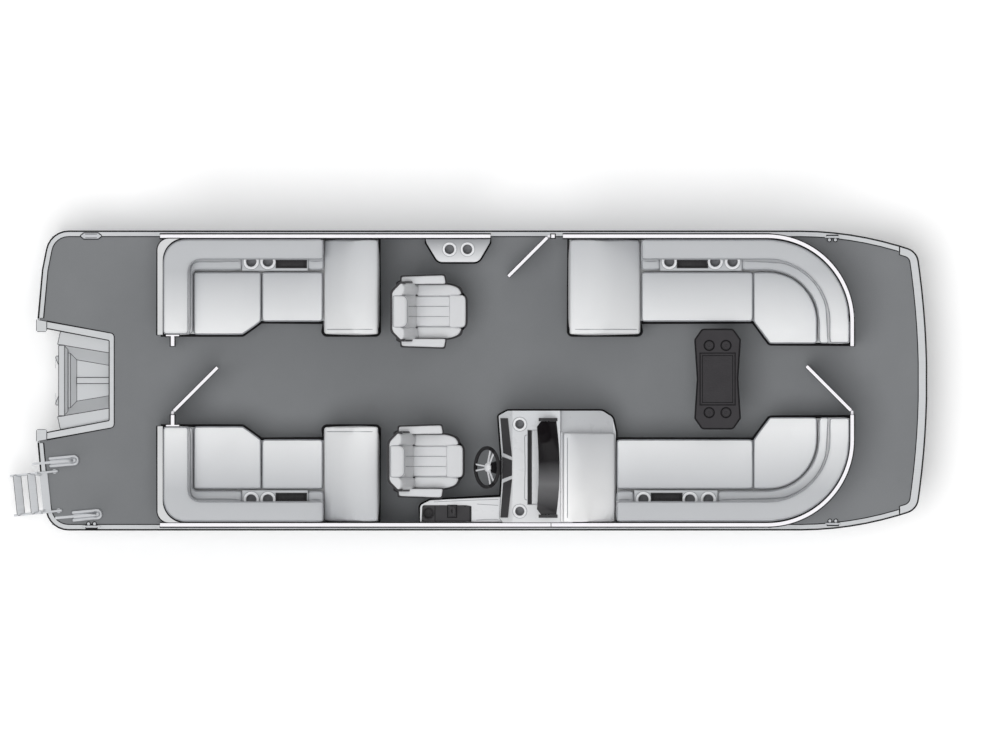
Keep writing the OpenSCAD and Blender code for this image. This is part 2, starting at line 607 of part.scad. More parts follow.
// ---- Helm ----
console_plan = [[300, -1234, 0], [1283, -1234, 0], [1283, -448, 40], [1255, -320, 60], [1165, -263, 60],
    [342, -263, 40], [264, -306, 20], [292, -682, 0], [292, -858, 0], [272, -1196, 10]];
console_top = [[200, 0], [1300, 0], [1300, base_h], [1262, base_h], [812, console_h - 96], [798, console_h],
    [385, console_h - 14], [262, console_h - 150], [200, console_h - 150]];
module helm_console() color(trim) difference() {
    at_deck() intersection() {
        slab(console_plan, 0, console_h + 10);
        along_y(-1300, -200) polygon(console_top);
    }
    at_deck() for (y = [-380, -1136]) rod(448, y, console_h - 90, console_h + 40, 43);
    at_deck() block(518, 619, -1079, -430, console_h - 45, console_h + 10);
    screen_at() translate([0, 0, -0.5]) linear_extrude(80) screen_plan(1.6);
    column(24);
}
module dash_panels() color(dark) difference() {
    dash_plates();
    column(24);
}
module dash_plates() at_deck() intersection() {
    translate([0, -760, console_h - 150]) linear_extrude(170) {
        for (s = [-1, 1]) polygon([[278, s * 432], [344, s * 432], [380, s * 96], [303, s * 130]]);
        polygon([[294, 98], [380, 66], [380, -66], [294, -98]]);
    }
    translate([0, 0, 6]) along_y(-1300, -200) polygon([[262, console_h - 150], [385, console_h - 14],
        [385, console_h - 10], [258, console_h - 144]]);
}
screen_r = 3600;
screen_half = 404;
screen_l = 300;
module screen_at() at_deck() translate([800, -760, console_h - 10]) rotate([0, -38, 0]) children();
module screen_plan(t) difference() {
    intersection() {
        translate([-screen_r, 0]) circle(r = screen_r + t, $fn = 160);
        translate([-200, -screen_half - t]) square([400, 2 * (screen_half + t)]);
    }
    translate([-screen_r, 0]) circle(r = screen_r - 6 - t, $fn = 160);
}
module windscreen() color([0.2, 0.19, 0.2, 0.6]) screen_at() intersection() {
    linear_extrude(screen_l) screen_plan(0);
    along_x(-300, 100) polygon([[-screen_half - 1, -1], [screen_half + 1, -1], [screen_half + 1, screen_l - 60],
        [screen_half - 46, screen_l + 1], [46 - screen_half, screen_l + 1], [-screen_half - 1, screen_l - 60]]);
}
module screen_brackets() color(dark) at_deck() for (y = [-1194, -354]) along_y(y, y + 28)
    polygon([[612, console_h - 6.2], [776, console_h - 0.7], [776, console_h + 8], [650, console_h + 180],
        [622, console_h + 180], [712, console_h + 12], [612, console_h + 4]]);
module console_backrest() color(vinyl) at_deck() along_y(-1232, -450)
    polygon([[1276, base_h + 4], [1276, seat_z1], [900, console_h - 30], [860, console_h - 14], [824, console_h - 30],
        [824, console_h - 92], [1270, base_h + 4]]);
wheel_x = 163;
wheel_y = -756;
wheel_z = 760;
module wheel_at() at_deck() translate([wheel_x, wheel_y, wheel_z]) rotate([0, -wheel_tilt, 0]) children();
module column(r) wheel_at() translate([0, 0, -230]) cylinder(h = 205, r = r);
module steering_column() color(dark) column(24);
module steering_wheel() color(dark) wheel_at() union() {
    rotate_extrude($fn = 96) translate([wheel_d / 2 - 16, 0]) circle(r = 16, $fn = 32);
    translate([0, 0, -24]) cylinder(h = 34, r = 36);
    for (a = [60, 180, 300]) rotate([0, 0, a]) for (t = [-1, 1])
        translate([24, t * 13, -8]) rotate([0, 0, t * 4]) block(0, wheel_d / 2 - 40, -7, 7, 0, 12);
}
side_plan = [[-419, -1234, 0], [298, -1234, 0], [270, -1196, 0], [281, -1012, 0], [-330, -1040, 40], [-419, -1084, 40]];
module side_console() color(trim) at_deck() difference() {
    slab(side_plan, 0, side_h);
    rod(-348, -1155, side_h - 80, side_h + 10, 48);
}
module throttle() color(dark) at_deck() difference() {
    slab([[-407, -1228, 0], [28, -1228, 0], [28, -1092, 10], [-20, -1084, 0], [-400, -1084, 20]], side_h, side_h + 8);
    rod(-348, -1155, side_h - 1, side_h + 9, 48);
}
module throttle_lever() color(dark) at_deck() {
    block(-163, -116, -1177, -1096, side_h + 8, side_h + 44);
    along_y(-1146, -1126) polygon([[-152, side_h + 44], [-128, side_h + 44], [-112, side_h + 120], [-136, side_h + 124]]);
    translate([-124, -1166, side_h + 130]) rotate([-90, 0, 0]) cylinder(h = 60, r = 13);
}

// ---- Chairs ----
helm_chair = [-360, -703];
port_chair = [-336, 601];
pedestal_top = 348;
module pedestal() {
    cylinder(h = 12, r = 130);
    cylinder(h = pedestal_top, r = 38);
    cylinder(h = 60, r = 60);
}
module chair_pedestals() color(alloy) at_deck() for (c = [helm_chair, port_chair]) translate([c[0], c[1], 0]) pedestal();
seat_plan = [[-270, -170, 70], [-190, -240, 60], [140, -240, 60], [300, -120, 60], [300, 120, 60], [140, 240, 60],
    [-190, 240, 60], [-270, 170, 70]];
module chair_shell() {
    translate([0, 0, pedestal_top + gap]) cylinder(h = 31, r = 90);
    slab(inset(seat_plan, 12), pedestal_top + 30, chair_seat_h - 120);
    along_y(-120, 120) polygon([[-298, pedestal_top + 32], [-250, pedestal_top + 32], [-250, chair_seat_h - 120],
        [-272, chair_seat_h - 120], [-272, chair_seat_h], [-286, 624], [-304, 624]]);
    along_y(-195, 195) polygon([[-304, 624], [-286, 624], [-334, 1000], [-350, 1000]]);
    for (s = [-1, 1]) {
        translate([0, s * 276, 0]) slab(box4(-245, 145, -36, 36, 30), 632, 672);
        block(-290, -235, s > 0 ? 190 : -242, s > 0 ? 242 : -190, 640, 664);
    }
}
module chair_cushions() {
    slab(seat_plan, chair_seat_h - 118, chair_seat_h);
    slab(box4(186, 318, -132, 132, 50), chair_seat_h + 1, chair_seat_h + 30);
    along_y(-185, 185) polygon([[-266, chair_seat_h + 1], [-150, chair_seat_h + 1], [-168, 628], [-284, 628]]);
    along_y(-188, 188) polygon([[-284, 630], [-168, 630], [-228, 1010], [-334, 1010]]);
}
module helm_chair_at() at_deck() translate([helm_chair[0], helm_chair[1], 0]) children();
module port_chair_at() at_deck() translate([port_chair[0], port_chair[1], 0]) children();
module helm_chair_shell() color(dark) helm_chair_at() chair_shell();
module helm_chair_cushions() color(vinyl) helm_chair_at() chair_cushions();
module port_chair_shell() color(dark) port_chair_at() chair_shell();
module port_chair_cushions() color(vinyl) port_chair_at() chair_cushions();

// ---- Drink pod and table ----
module drink_pod() color(trim) at_deck() difference() {
    slab([[193, 1236, 0], [-372, 1236, 0], [-363, 1196, 20], [-262, 1030, 70], [88, 1030, 70], [186, 1196, 20]], 0, 610);
    for (x = [-163, -7]) rod(x, 1141, 530, 620, 45);
}
table_x = 2168;
table_y = 13;
module table_top() color(dark) at_deck() translate([table_x, table_y, 0]) difference() {
    slab([[-190, -340, 20], [-130, -426, 30], [130, -426, 30], [190, -340, 20], [168, 0, 0], [190, 340, 20],
        [130, 426, 30], [-130, 426, 30], [-190, 340, 20], [-168, 0, 0]], table_h - 30, table_h);
    for (x = [-73, 73]) for (y = [-292, 292]) rod(x, y, table_h - 24, table_h + 5, 42);
    slab(box4(-149, 149, -222, 222, 20), table_h - 8, table_h + 5);
}
module table_leg() color(alloy) at_deck() translate([table_x, table_y, 0]) {
    translate([0, 0, 20]) cylinder(h = table_h - 62, r = 30);
    translate([0, 0, table_h - 42]) cylinder(h = 12, r = 90);
}
module table_socket() color(alloy) at_deck() translate([table_x, table_y, 0]) difference() {
    union() {
        cylinder(h = 8, r = 90);
        cylinder(h = 60, r = 40);
    }
    translate([0, 0, 12]) cylinder(h = 60, r = 30 + gap);
}

port_pontoon();
starboard_pontoon();
cross_members();
deck();
port_edge_trim();
starboard_edge_trim();
bow_edge_trim();
stern_castings();
motor_well_trim();
motor_pod();
transom();
cleats();
handrails();
ladder_base();
ladder_rails();
ladder_treads();
port_aft_fence();
port_bow_fence();
starboard_fence();
fence_panels();
gate_posts();
bow_gate_frame();
bow_gate_panel();
side_gate_frame();
side_gate_panel();
stern_gate_frame();
stern_gate_panel();
lounge_shells();
port_aft_base();
starboard_aft_base();
port_bow_base();
starboard_bow_base();
port_aft_lid();
starboard_aft_lid();
port_bow_lid();
starboard_bow_lid();
corner_seats();
backrests();
cup_inserts();
chaise_backs();
helm_console();
dash_panels();
windscreen();
screen_brackets();
console_backrest();
steering_column();
steering_wheel();
side_console();
throttle();
throttle_lever();
chair_pedestals();
helm_chair_shell();
helm_chair_cushions();
port_chair_shell();
port_chair_cushions();
drink_pod();
table_top();
table_leg();
table_socket();
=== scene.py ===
"""The looks of a pontoon boat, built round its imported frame. Metres: +X to the bow, +Y to port, +Z up."""
import json
import math

import bmesh
import bpy
import numpy as np
from mathutils import Matrix, Vector
from mathutils.bvhtree import BVHTree
from mathutils.kdtree import KDTree


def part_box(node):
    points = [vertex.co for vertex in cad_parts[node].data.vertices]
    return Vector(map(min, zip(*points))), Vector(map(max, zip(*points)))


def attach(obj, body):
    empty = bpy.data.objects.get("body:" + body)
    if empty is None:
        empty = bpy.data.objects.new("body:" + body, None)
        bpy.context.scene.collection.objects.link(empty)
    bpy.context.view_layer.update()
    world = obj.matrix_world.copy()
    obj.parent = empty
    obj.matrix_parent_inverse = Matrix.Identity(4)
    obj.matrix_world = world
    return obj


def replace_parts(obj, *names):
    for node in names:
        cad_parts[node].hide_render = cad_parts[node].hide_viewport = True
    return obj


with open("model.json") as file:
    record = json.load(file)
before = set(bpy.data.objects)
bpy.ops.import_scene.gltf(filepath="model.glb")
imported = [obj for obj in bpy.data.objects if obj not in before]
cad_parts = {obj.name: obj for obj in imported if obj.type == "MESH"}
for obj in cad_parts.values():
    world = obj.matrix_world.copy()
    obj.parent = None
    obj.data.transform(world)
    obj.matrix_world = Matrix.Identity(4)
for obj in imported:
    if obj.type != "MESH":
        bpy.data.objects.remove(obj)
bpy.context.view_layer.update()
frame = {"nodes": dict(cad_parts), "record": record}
nodes = frame["nodes"]
openings = {o["name"]: [Vector(c) for c in o["box_m"]] for o in frame["record"]["physics"]["openings"]}
scene = bpy.context.scene

MM = 0.001
AHEAD, TO_PORT, UP = Vector((1, 0, 0)), Vector((0, 1, 0)), Vector((0, 0, 1))
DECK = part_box("deck")[1].z
FENCE_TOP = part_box("port_aft_fence")[1].z
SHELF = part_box("cup_inserts")[1].z
PORT_CHAIR, HELM_CHAIR = Vector((-0.336, 0.601, DECK)), Vector((-0.360, -0.703, DECK))
BASES = [f"{side}_{end}_base" for end in ("aft", "bow") for side in ("port", "starboard")]
FENCES = ["port_aft_fence", "port_bow_fence", "starboard_fence"]

VIEW_WIDTH, CAMERA_AT = 8.695, (0.276, 0.048, 12.0)
LAMPS = {"key": ((11, -8, 0), 1.92, 38), "fill": ((-24, 18, 0), 0.36, 70)}  # tilt, strength and spread
WORLD_LIGHT, FLOOR_LIFT, FLOOR_REACH = 0.32, 0.12, 60
CLOTH_FRAMES = 20
CLOTH = {"quality": 4, "mass": 0.2, "tension_stiffness": 12, "compression_stiffness": 12, "shear_stiffness": 4,
         "bending_stiffness": 0.6, "use_pressure": True, "uniform_pressure_force": 4.0, "vertex_group_mass": "sewn"}


def put(thing, **settings):
    """Sets several attributes at once."""
    for key, value in settings.items():
        setattr(thing, key, value)
    return thing


# ---- Shaders ----
def linear(r, g, b):
    """An 8-bit colour as the linear one that a shader takes."""
    return tuple(((c / 255 + 0.055) / 1.055) ** 2.4 for c in (r, g, b)) + (1.0,)


class Shader:
    """A Principled material with short calls for its textures, which are all in object space."""

    def __init__(self, name, colour, rough, metal=0.0, **fixed):
        self.mat = bpy.data.materials.new(name)
        self.mat.use_nodes = True
        self.tree = self.mat.node_tree
        self.bsdf = self.tree.nodes["Principled BSDF"]
        self.colour = linear(*colour)
        self.bsdf.inputs["Base Color"].default_value = self.colour
        self.bsdf.inputs["Roughness"].default_value = rough
        self.bsdf.inputs["Metallic"].default_value = metal
        for key, value in fixed.items():
            self.bsdf.inputs[key.replace("_", " ")].default_value = value
        self.mat.diffuse_color = self.colour
        self.place = self.node("ShaderNodeTexCoord").outputs["Object"]

    def feed(self, pairs):
        """Puts a value into each socket, or links another node's output to it."""
        for socket, value in pairs:
            if isinstance(value, bpy.types.NodeSocket):
                self.tree.links.new(value, socket)
            else:
                socket.default_value = value

    def node(self, kind, **sockets):
        """A node of a kind, with its sockets set or linked by name."""
        made = self.tree.nodes.new(kind)
        self.feed((made.inputs[key.replace("_", " ")], value) for key, value in sockets.items())
        return made

    def stretched(self, scale):
        return self.node("ShaderNodeMapping", Vector=self.place, Scale=scale).outputs[0]

    def noise(self, scale, detail=4.0, stretch=(1, 1, 1)):
        place = self.place if stretch == (1, 1, 1) else self.stretched(stretch)
        return self.node("ShaderNodeTexNoise", Vector=place, Scale=scale, Detail=detail).outputs["Fac"]

    def cells(self, scale, stretch=(1, 1, 1)):
        made = self.node("ShaderNodeTexVoronoi", Vector=self.stretched(stretch), Scale=scale)
        made.feature = "SMOOTH_F1"
        return made.outputs["Distance"]

    def waves(self, scale, axis, distortion=0.0):
        made = self.node("ShaderNodeTexWave", Vector=self.place, Scale=scale, Distortion=distortion)
        made.bands_direction = axis
        return made.outputs["Fac"]

    def spread(self, value, low, high, to_low, to_high):
        made = self.node("ShaderNodeMapRange", Value=value, From_Min=low, From_Max=high, To_Min=to_low, To_Max=to_high)
        return made.outputs["Result"]

    def maths(self, operation, a, b):
        made = self.node("ShaderNodeMath")
        made.operation = operation
        self.feed(zip(made.inputs, (a, b)))
        return made.outputs[0]

    def across(self):
        """The place's distance across the boat, plus to port."""
        return self.node("ShaderNodeSeparateXYZ", Vector=self.place).outputs["Y"]

    def mix(self, share, a, b):
        """A colour between a and b."""
        made = self.node("ShaderNodeMix")
        made.data_type = "RGBA"
        self.feed(((made.inputs[0], share), (made.inputs[6], a), (made.inputs[7], b)))
        return made.outputs[2]

    def tint(self, share, other):
        """Mixes another 8-bit colour into the surface where share is high."""
        base = self.bsdf.inputs["Base Color"]
        now = base.links[0].from_socket if base.is_linked else self.colour
        self.tree.links.new(self.mix(share, now, linear(*other)), base)
        return self

    def stain(self, texture, low, high, most, other):
        """Tints where a texture passes from low to high, up to a share of most."""
        return self.tint(self.spread(texture, low, high, 0.0, most), other)

    def painted_shade_across(self, shade_start_y, shade_full_y, dark):
        """Painted shade: darkens the colour towards dark between two distances from the boat's middle line, starting at
        the first and full at the second.
        """
        return self.stain(self.maths("ABSOLUTE", self.across(), 0.0), shade_start_y, shade_full_y, 1.0, dark)

    def sheen(self, value, low, high):
        """Lets roughness follow a texture."""
        self.tree.links.new(self.spread(value, 0.3, 0.7, low, high), self.bsdf.inputs["Roughness"])
        return self

    def relief(self, height, depth, strength=1.0):
        """Adds a bump of that depth in metres."""
        normal = self.bsdf.inputs["Normal"]
        under = normal.links[0].from_socket if normal.is_linked else None
        made = self.node("ShaderNodeBump", Height=height, Distance=depth, Strength=strength)
        if under:
            self.tree.links.new(under, made.inputs["Normal"])
        self.tree.links.new(made.outputs[0], normal)
        return self


def vinyl(name, shade_full_y=1.25, shade_start_y=0.38, dark=(190, 192, 195), light=(231, 232, 233)):
    """Marine vinyl: leather grain and soft creases, with painted shade that turns its colour from light to dark across
    the boat between two distances from the middle line.
    """
    s = Shader(name, light, 0.46, Sheen_Weight=0.12, Sheen_Roughness=0.5, Specular_IOR_Level=0.35)
    # Painted shade: the vinyl is coloured darker towards one distance from the middle line and lighter towards the
    # other.
    s.painted_shade_across(shade_start_y, shade_full_y, dark)
    s.stain(s.noise(2.2, 3.0), 0.45, 0.75, 0.10, (176, 178, 182))
    s.stain(s.noise(420.0, 2.0), 0.5, 0.8, 0.14, (160, 162, 166))
    s.sheen(s.noise(9.0), 0.40, 0.54)
    s.relief(s.cells(620.0), 0.00045, 0.55)
    s.relief(s.noise(34.0, 5.0), 0.0016, 0.35)
    return s.mat


def deck_weave():
    """Woven vinyl flooring."""
    s = Shader("woven_deck", (129, 131, 133), 0.82, Specular_IOR_Level=0.25)
    weave = s.maths("MULTIPLY", s.waves(118.0, "X", 0.4), s.waves(118.0, "Y", 0.4))
    s.tint(s.spread(weave, 0.1, 0.9, 0.28, 0.0), (104, 106, 109))
    s.stain(s.noise(1.1, 3.0), 0.42, 0.7, 0.22, (140, 142, 144))
    s.stain(s.noise(260.0, 2.0), 0.55, 0.8, 0.35, (152, 154, 156))
    s.sheen(s.noise(6.0), 0.74, 0.9)
    s.relief(weave, 0.0009, 0.6)
    return s.mat


def metal(name, colour, rough, along="X", depth=0.00025):
    """Extruded or rolled aluminium: fine lines along one axis over broad soft stains."""
    stretch = {"X": (0.7, 60, 60), "Y": (60, 0.7, 60), "Z": (60, 60, 0.7)}[along]
    s = Shader(name, colour, rough, 1.0)
    lines = s.noise(9.0, 6.0, stretch)
    s.stain(lines, 0.4, 0.7, 0.16, tuple(int(c * 0.82) for c in colour))
    s.stain(s.noise(1.7, 4.0), 0.5, 0.75, 0.18, tuple(min(255, int(c * 1.06)) for c in colour))
    s.sheen(lines, rough - 0.06, rough + 0.12)
    s.relief(lines, depth, 0.5)
    s.relief(s.noise(5.0, 2.0), 0.002, 0.10)
    return s.mat


def painted(name, colour, rough, coat=0.0, peel=0.35):
    """Paint or powder coat with orange peel and faint dust."""
    s = Shader(name, colour, rough, 0.0, Coat_Weight=coat, Coat_Roughness=0.12)
    s.stain(s.noise(1.4, 4.0), 0.48, 0.78, 0.10, tuple(int(c * 0.9) for c in colour))
    s.sheen(s.noise(14.0), rough - 0.05, rough + 0.08)
    s.relief(s.noise(330.0, 2.0), 0.0006, peel)
    return s.mat


def moulded(name, colour, rough, grain=420.0, depth=0.0007, shade_full_y=None, shade_start_y=None, dark=None):
    """Moulded plastic with a pebbled texture and light scuffs, and painted shade across the boat where its distances
    and dark colour are given.
    """
    s = Shader(name, colour, rough, 0.0, Specular_IOR_Level=0.4)
    # Painted shade across the boat, the same as on the vinyl.
    if dark:
        s.painted_shade_across(shade_start_y, shade_full_y, dark)
    s.stain(s.noise(3.0, 5.0), 0.5, 0.78, 0.14, tuple(int(c * 0.86) for c in colour))
    s.stain(s.noise(60.0, 3.0, (0.25, 1, 1)), 0.62, 0.8, 0.16, tuple(min(255, c + 26) for c in colour))
    s.sheen(s.noise(11.0), rough - 0.06, rough + 0.10)
    s.relief(s.cells(grain), depth, 0.45)
    return s.mat


def rubber(name, colour=(14, 13, 15)):
    s = Shader(name, colour, 0.7, 0.0, Specular_IOR_Level=0.2)
    s.stain(s.noise(30.0), 0.5, 0.8, 0.3, tuple(c + 20 for c in colour))
    s.sheen(s.noise(18.0), 0.52, 0.74)
    s.relief(s.noise(500.0, 2.0), 0.0004, 0.4)
    return s.mat


def tinted_acrylic():
    """Near-black windscreen with a painted reflection: a paler streak across it."""
    s = Shader("tinted_acrylic", (24, 21, 23), 0.07, 0.0, Specular_IOR_Level=0.16, Transmission_Weight=0.05)
    # Painted reflection: a paler streak across the screen, faded back to near black further to starboard.
    s.stain(s.across(), -0.70, -0.90, 0.7, (146, 146, 148))
    s.stain(s.across(), -0.90, -1.12, 0.9, (38, 36, 38))
    s.relief(s.noise(3.0, 1.0), 0.0006, 0.2)
    return s.mat


# Painted shade and light: the vinyls, the pod and the console change colour with distance from the middle line. They
# are darker outboard on the lounges, chaise, chairs and pod. On the helm cushion and the console they are lighter
# outboard, and the helm cushion's light colour is pure white, to make up for the light their slopes don't get.
M = {
    "vinyl": vinyl("marine_vinyl", 0.95, 0.42, (187, 189, 192), (233, 234, 235)),
    "vinyl_chaise": vinyl("marine_vinyl_chaise", 1.22, 0.42, (190, 192, 195), (234, 235, 236)),
    "pod": moulded("pod_plastic", (226, 227, 229), 0.42, shade_full_y=1.215, shade_start_y=1.03, dark=(158, 160, 163)),
    "vinyl_helm": vinyl("marine_vinyl_helm", 0.42, 1.1, (208, 210, 213), (255, 255, 255)),
    "vinyl_chair": vinyl("marine_vinyl_chair", 9.0, 0.0, (190, 192, 195), (213, 214, 216)),
    "deck": deck_weave(),
    "trim": metal("anodised_trim", (209, 211, 213), 0.36),
    "alloy": metal("mill_aluminium", (186, 189, 193), 0.40),
    "polished": metal("polished_steel", (203, 205, 208), 0.34, depth=0.00005),
    "white": painted("white_powder_coat", (246, 244, 248), 0.34, 0.3),
    "sheet": painted("fence_sheet_paint", (232, 232, 235), 0.4, 0.2, 0.2),
    "hull_paint": painted("motor_pod_paint", (198, 200, 202), 0.42, 0.1),
    "shell": moulded("furniture_plastic", (211, 212, 213), 0.42),
    "insert": moulded("cup_insert_plastic", (190, 192, 195), 0.44),
    "console": moulded("console_gelcoat", (218, 219, 221), 0.30, 700.0, 0.0002, 0.3, 1.0, (206, 208, 211)),
    "dark": moulded("dark_plastic", (50, 49, 51), 0.48),
    "table": moulded("table_plastic", (41, 39, 42), 0.42, 300.0, 0.0009),
    "rubber": rubber("black_rubber"),
    "stitching": rubber("grey_thread", (142, 144, 148)),
    "sealant": rubber("grey_sealant", (74, 74, 77)),
    "silver": painted("silver_lacquer", (224, 225, 228), 0.3, 0.4, 0.1),
    "piping": rubber("grey_piping", (150, 152, 156)),
    "grip": moulded("wheel_leather", (20, 19, 21), 0.55, 900.0, 0.0005),
    "liner": moulded("cup_liner", (117, 118, 121), 0.5, 900.0, 0.0002),
    "ring": moulded("cup_ring", (232, 233, 235), 0.34, 900.0, 0.0001),
    "glass": tinted_acrylic(),
}

FINISH = {
    "hull_alloy": ("alloy", ["port_pontoon", "starboard_pontoon", "cross_members"]),
    "deck_floor": ("deck", ["deck"]),
    "edge_trim": ("trim", ["port_edge_trim", "starboard_edge_trim", "bow_edge_trim", "stern_castings",
                           "motor_well_trim"]),
    "painted_hull": ("hull_paint", ["motor_pod", "transom"]),
    "polished_metal": ("polished", ["cleats", "handrails", "ladder_base", "ladder_rails", "ladder_treads",
                                    "chair_pedestals", "table_leg", "table_socket"]),
    "fence_tube": ("white", FENCES + ["gate_posts", "bow_gate_frame", "side_gate_frame", "stern_gate_frame"]),
    "fence_sheet": ("sheet", ["fence_panels", "bow_gate_panel", "side_gate_panel", "stern_gate_panel"]),
    "furniture_shell": ("shell", ["lounge_shells", *BASES, "cup_inserts", "helm_console", "side_console",
                                  "drink_pod"]),
    "dark_plastic": ("dark", ["dash_panels", "screen_brackets", "steering_column", "throttle", "throttle_lever",
                              "table_top", "helm_chair_shell", "port_chair_shell"]),
    "tinted_glass": ("glass", ["windscreen"]),
}
# Materials of nodes that differ from the rest of their slot, bevel widths, and nodes that keep their triangles
OWN = {"drink_pod": "pod", "cup_inserts": "insert", "helm_console": "console", "side_console": "console",
       "table_top": "table"}
EDGE = {"deck": 0.001, "helm_console": 0.012, "side_console": 0.010, "drink_pod": 0.014, "lounge_shells": 0.006,
        "windscreen": 0.002, "table_top": 0.006, **dict.fromkeys(BASES, 0.008), **dict.fromkeys(FENCES, 0.004)}
TRIANGLED = ["cup_inserts", *BASES]
ROUND_PARTS = ["handrails", "steering_column", "port_pontoon", "starboard_pontoon"]


def paint(mesh, material):
    """One smooth-shaded material on a whole mesh."""
    mesh.materials.clear()
    mesh.materials.append(M[material])
    for p in mesh.polygons:
        p.use_smooth = True
        p.material_index = 0


def finish_cad():
    """Gives every CAD node that stays its finish, and softens its edges."""
    for slot, (finish, names) in FINISH.items():
        for name in names:
            obj = nodes[name]
            paint(obj.data, OWN.get(name, finish))
            put(obj.modifiers.new("Weld", "WELD"), merge_threshold=1e-5)
            if not slot.startswith("fence") and name not in TRIANGLED:
                put(obj.modifiers.new("Flat", "DECIMATE"), decimate_type="DISSOLVE", angle_limit=math.radians(0.6))
            if slot != "fence_sheet" and name not in ROUND_PARTS:
                put(obj.modifiers.new("Edge", "BEVEL"), width=EDGE.get(name, 0.003), segments=3, limit_method="ANGLE",
                    angle_limit=math.radians(32), miter_outer="MITER_ARC")
            put(obj.modifiers.new("Shade", "WEIGHTED_NORMAL"), weight=80)


# ---- Mesh tools ----
def link(obj):
    """Puts an object into the scene."""
    scene.collection.objects.link(obj)
    return obj


def baked(obj):
    """Applies the modifiers."""
    done = bpy.data.meshes.new_from_object(obj.evaluated_get(bpy.context.evaluated_depsgraph_get()))
    obj.modifiers.clear()
    old = obj.data
    obj.data = done
    done.name = obj.name
    bpy.data.meshes.remove(old)
    return obj


def points(obj, what="co"):
    """The places or normals of a mesh's points, one to a row."""
    found = np.empty(len(obj.data.vertices) * 3)
    obj.data.vertices.foreach_get(what, found)
    return found.reshape(-1, 3)


def put_points(obj, co):
    obj.data.vertices.foreach_set("co", co.ravel())
    obj.data.update()


def dress(obj, material, body, smooth=None):
    """Material, shading and body for a new piece."""
    paint(obj.data, material)
    if smooth:
        obj.data.set_sharp_from_angle(angle=math.radians(smooth))
    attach(obj, body)
    return obj


class Build:
    """Collects shapes into one mesh."""

    def __init__(self, place=None):
        self.verts, self.faces, self.place = [], [], place or Matrix()

    def add(self, verts, faces):
        base = len(self.verts)
        self.verts += [self.place @ Vector(v) for v in verts]
        self.faces += [[base + i for i in f] for f in faces]
        return self

    def skin(self, rings, loop=False):
        """Skins equal rings of points, with end caps unless they loop."""
        n, m = len(rings), len(rings[0])
        faces = []
        for i in range(n if loop else n - 1):
            for j in range(m):
                k, up = (j + 1) % m, (i + 1) % n
                faces.append([i * m + j, i * m + k, up * m + k, up * m + j])
        if not loop:
            faces += [list(range(m))[::-1], [(n - 1) * m + j for j in range(m)]]
        return self.add([p for r in rings for p in r], faces)

    def sweep(self, path, profile, loop=False, up=UP):
        """Sweeps a profile of (side, up) offsets along a path, carrying its frame along."""
        path = [Vector(p) for p in path]
        n, rings = len(path), []
        for i, p in enumerate(path):
            ahead = path[(i + 1) % n] if loop or i < n - 1 else p
            behind = path[i - 1] if loop or i > 0 else p
            t = (ahead - behind).normalized()
            up = (up - t * up.dot(t)).normalized()
            side = t.cross(up)
            stretch = 1.0
            if 0 < i < n - 1 or loop:
                bend = (ahead - p).normalized().dot((p - behind).normalized())
                stretch = 1 / max(0.6, math.sqrt(max(0.0, (1 + bend) / 2)))
            rings.append([p + side * a * stretch + up * b for a, b in profile])
        return self.skin(rings, loop)

    def tube(self, path, r, sides=8, loop=False, up=UP):
        """A round bar along a path."""
        return self.sweep(path, circle(r, sides), loop, up)

    def lathe(self, profile, centre=(0, 0, 0), axis=UP, sides=32, loop=False):
        """Turns (radius, height) points about an axis; the ends are capped, or joined in a ring."""
        turn = Vector(axis).to_track_quat("Z", "Y").to_matrix()
        return self.skin([[Vector(centre) + turn @ Vector((r * c, r * s, h)) for c, s in circle(1, sides)]
                          for r, h in profile], loop)

    def block(self, low, high, edge=0.002):
        """A box with rounded edges."""
        low, high = Vector(low), Vector(high)
        bm = bmesh.new()
        bmesh.ops.create_cube(bm, size=1.0, matrix=Matrix.Diagonal((*(high - low), 1.0)))
        if edge:
            bmesh.ops.bevel(bm, geom=bm.edges[:], offset=edge, segments=2, profile=0.5, affect="EDGES")
        middle = (low + high) / 2
        bm.verts.index_update()
        self.add([middle + v.co for v in bm.verts], [[v.index for v in f.verts] for f in bm.faces])
        bm.free()
        return self

    def make(self, name, material, body="hull", slot="dark_plastic", smooth=40.0):
        """Ends the collecting: one dressed object."""
        mesh = bpy.data.meshes.new(name)
        mesh.from_pydata([tuple(v) for v in self.verts], [], self.faces)
        bm = bmesh.new()
        bm.from_mesh(mesh)
        bmesh.ops.recalc_face_normals(bm, faces=bm.faces)
        bm.to_mesh(mesh)
        bm.free()
        return dress(link(bpy.data.objects.new(name, mesh)), material, body, smooth)


def circle(r, sides=8, flat=1.0):
    turns = [2 * math.pi * k / sides for k in range(sides)]
    return [(r * math.cos(t), r * flat * math.sin(t)) for t in turns]


def hoop(centre, r, sides, a=AHEAD, b=TO_PORT):
    """A circle of points about a centre, in the plane of a and b."""
    return [Vector(centre) + a * x + b * y for x, y in circle(r, sides)]


def middle(solid):
    return sum(solid[0], Vector()) / len(solid[0])


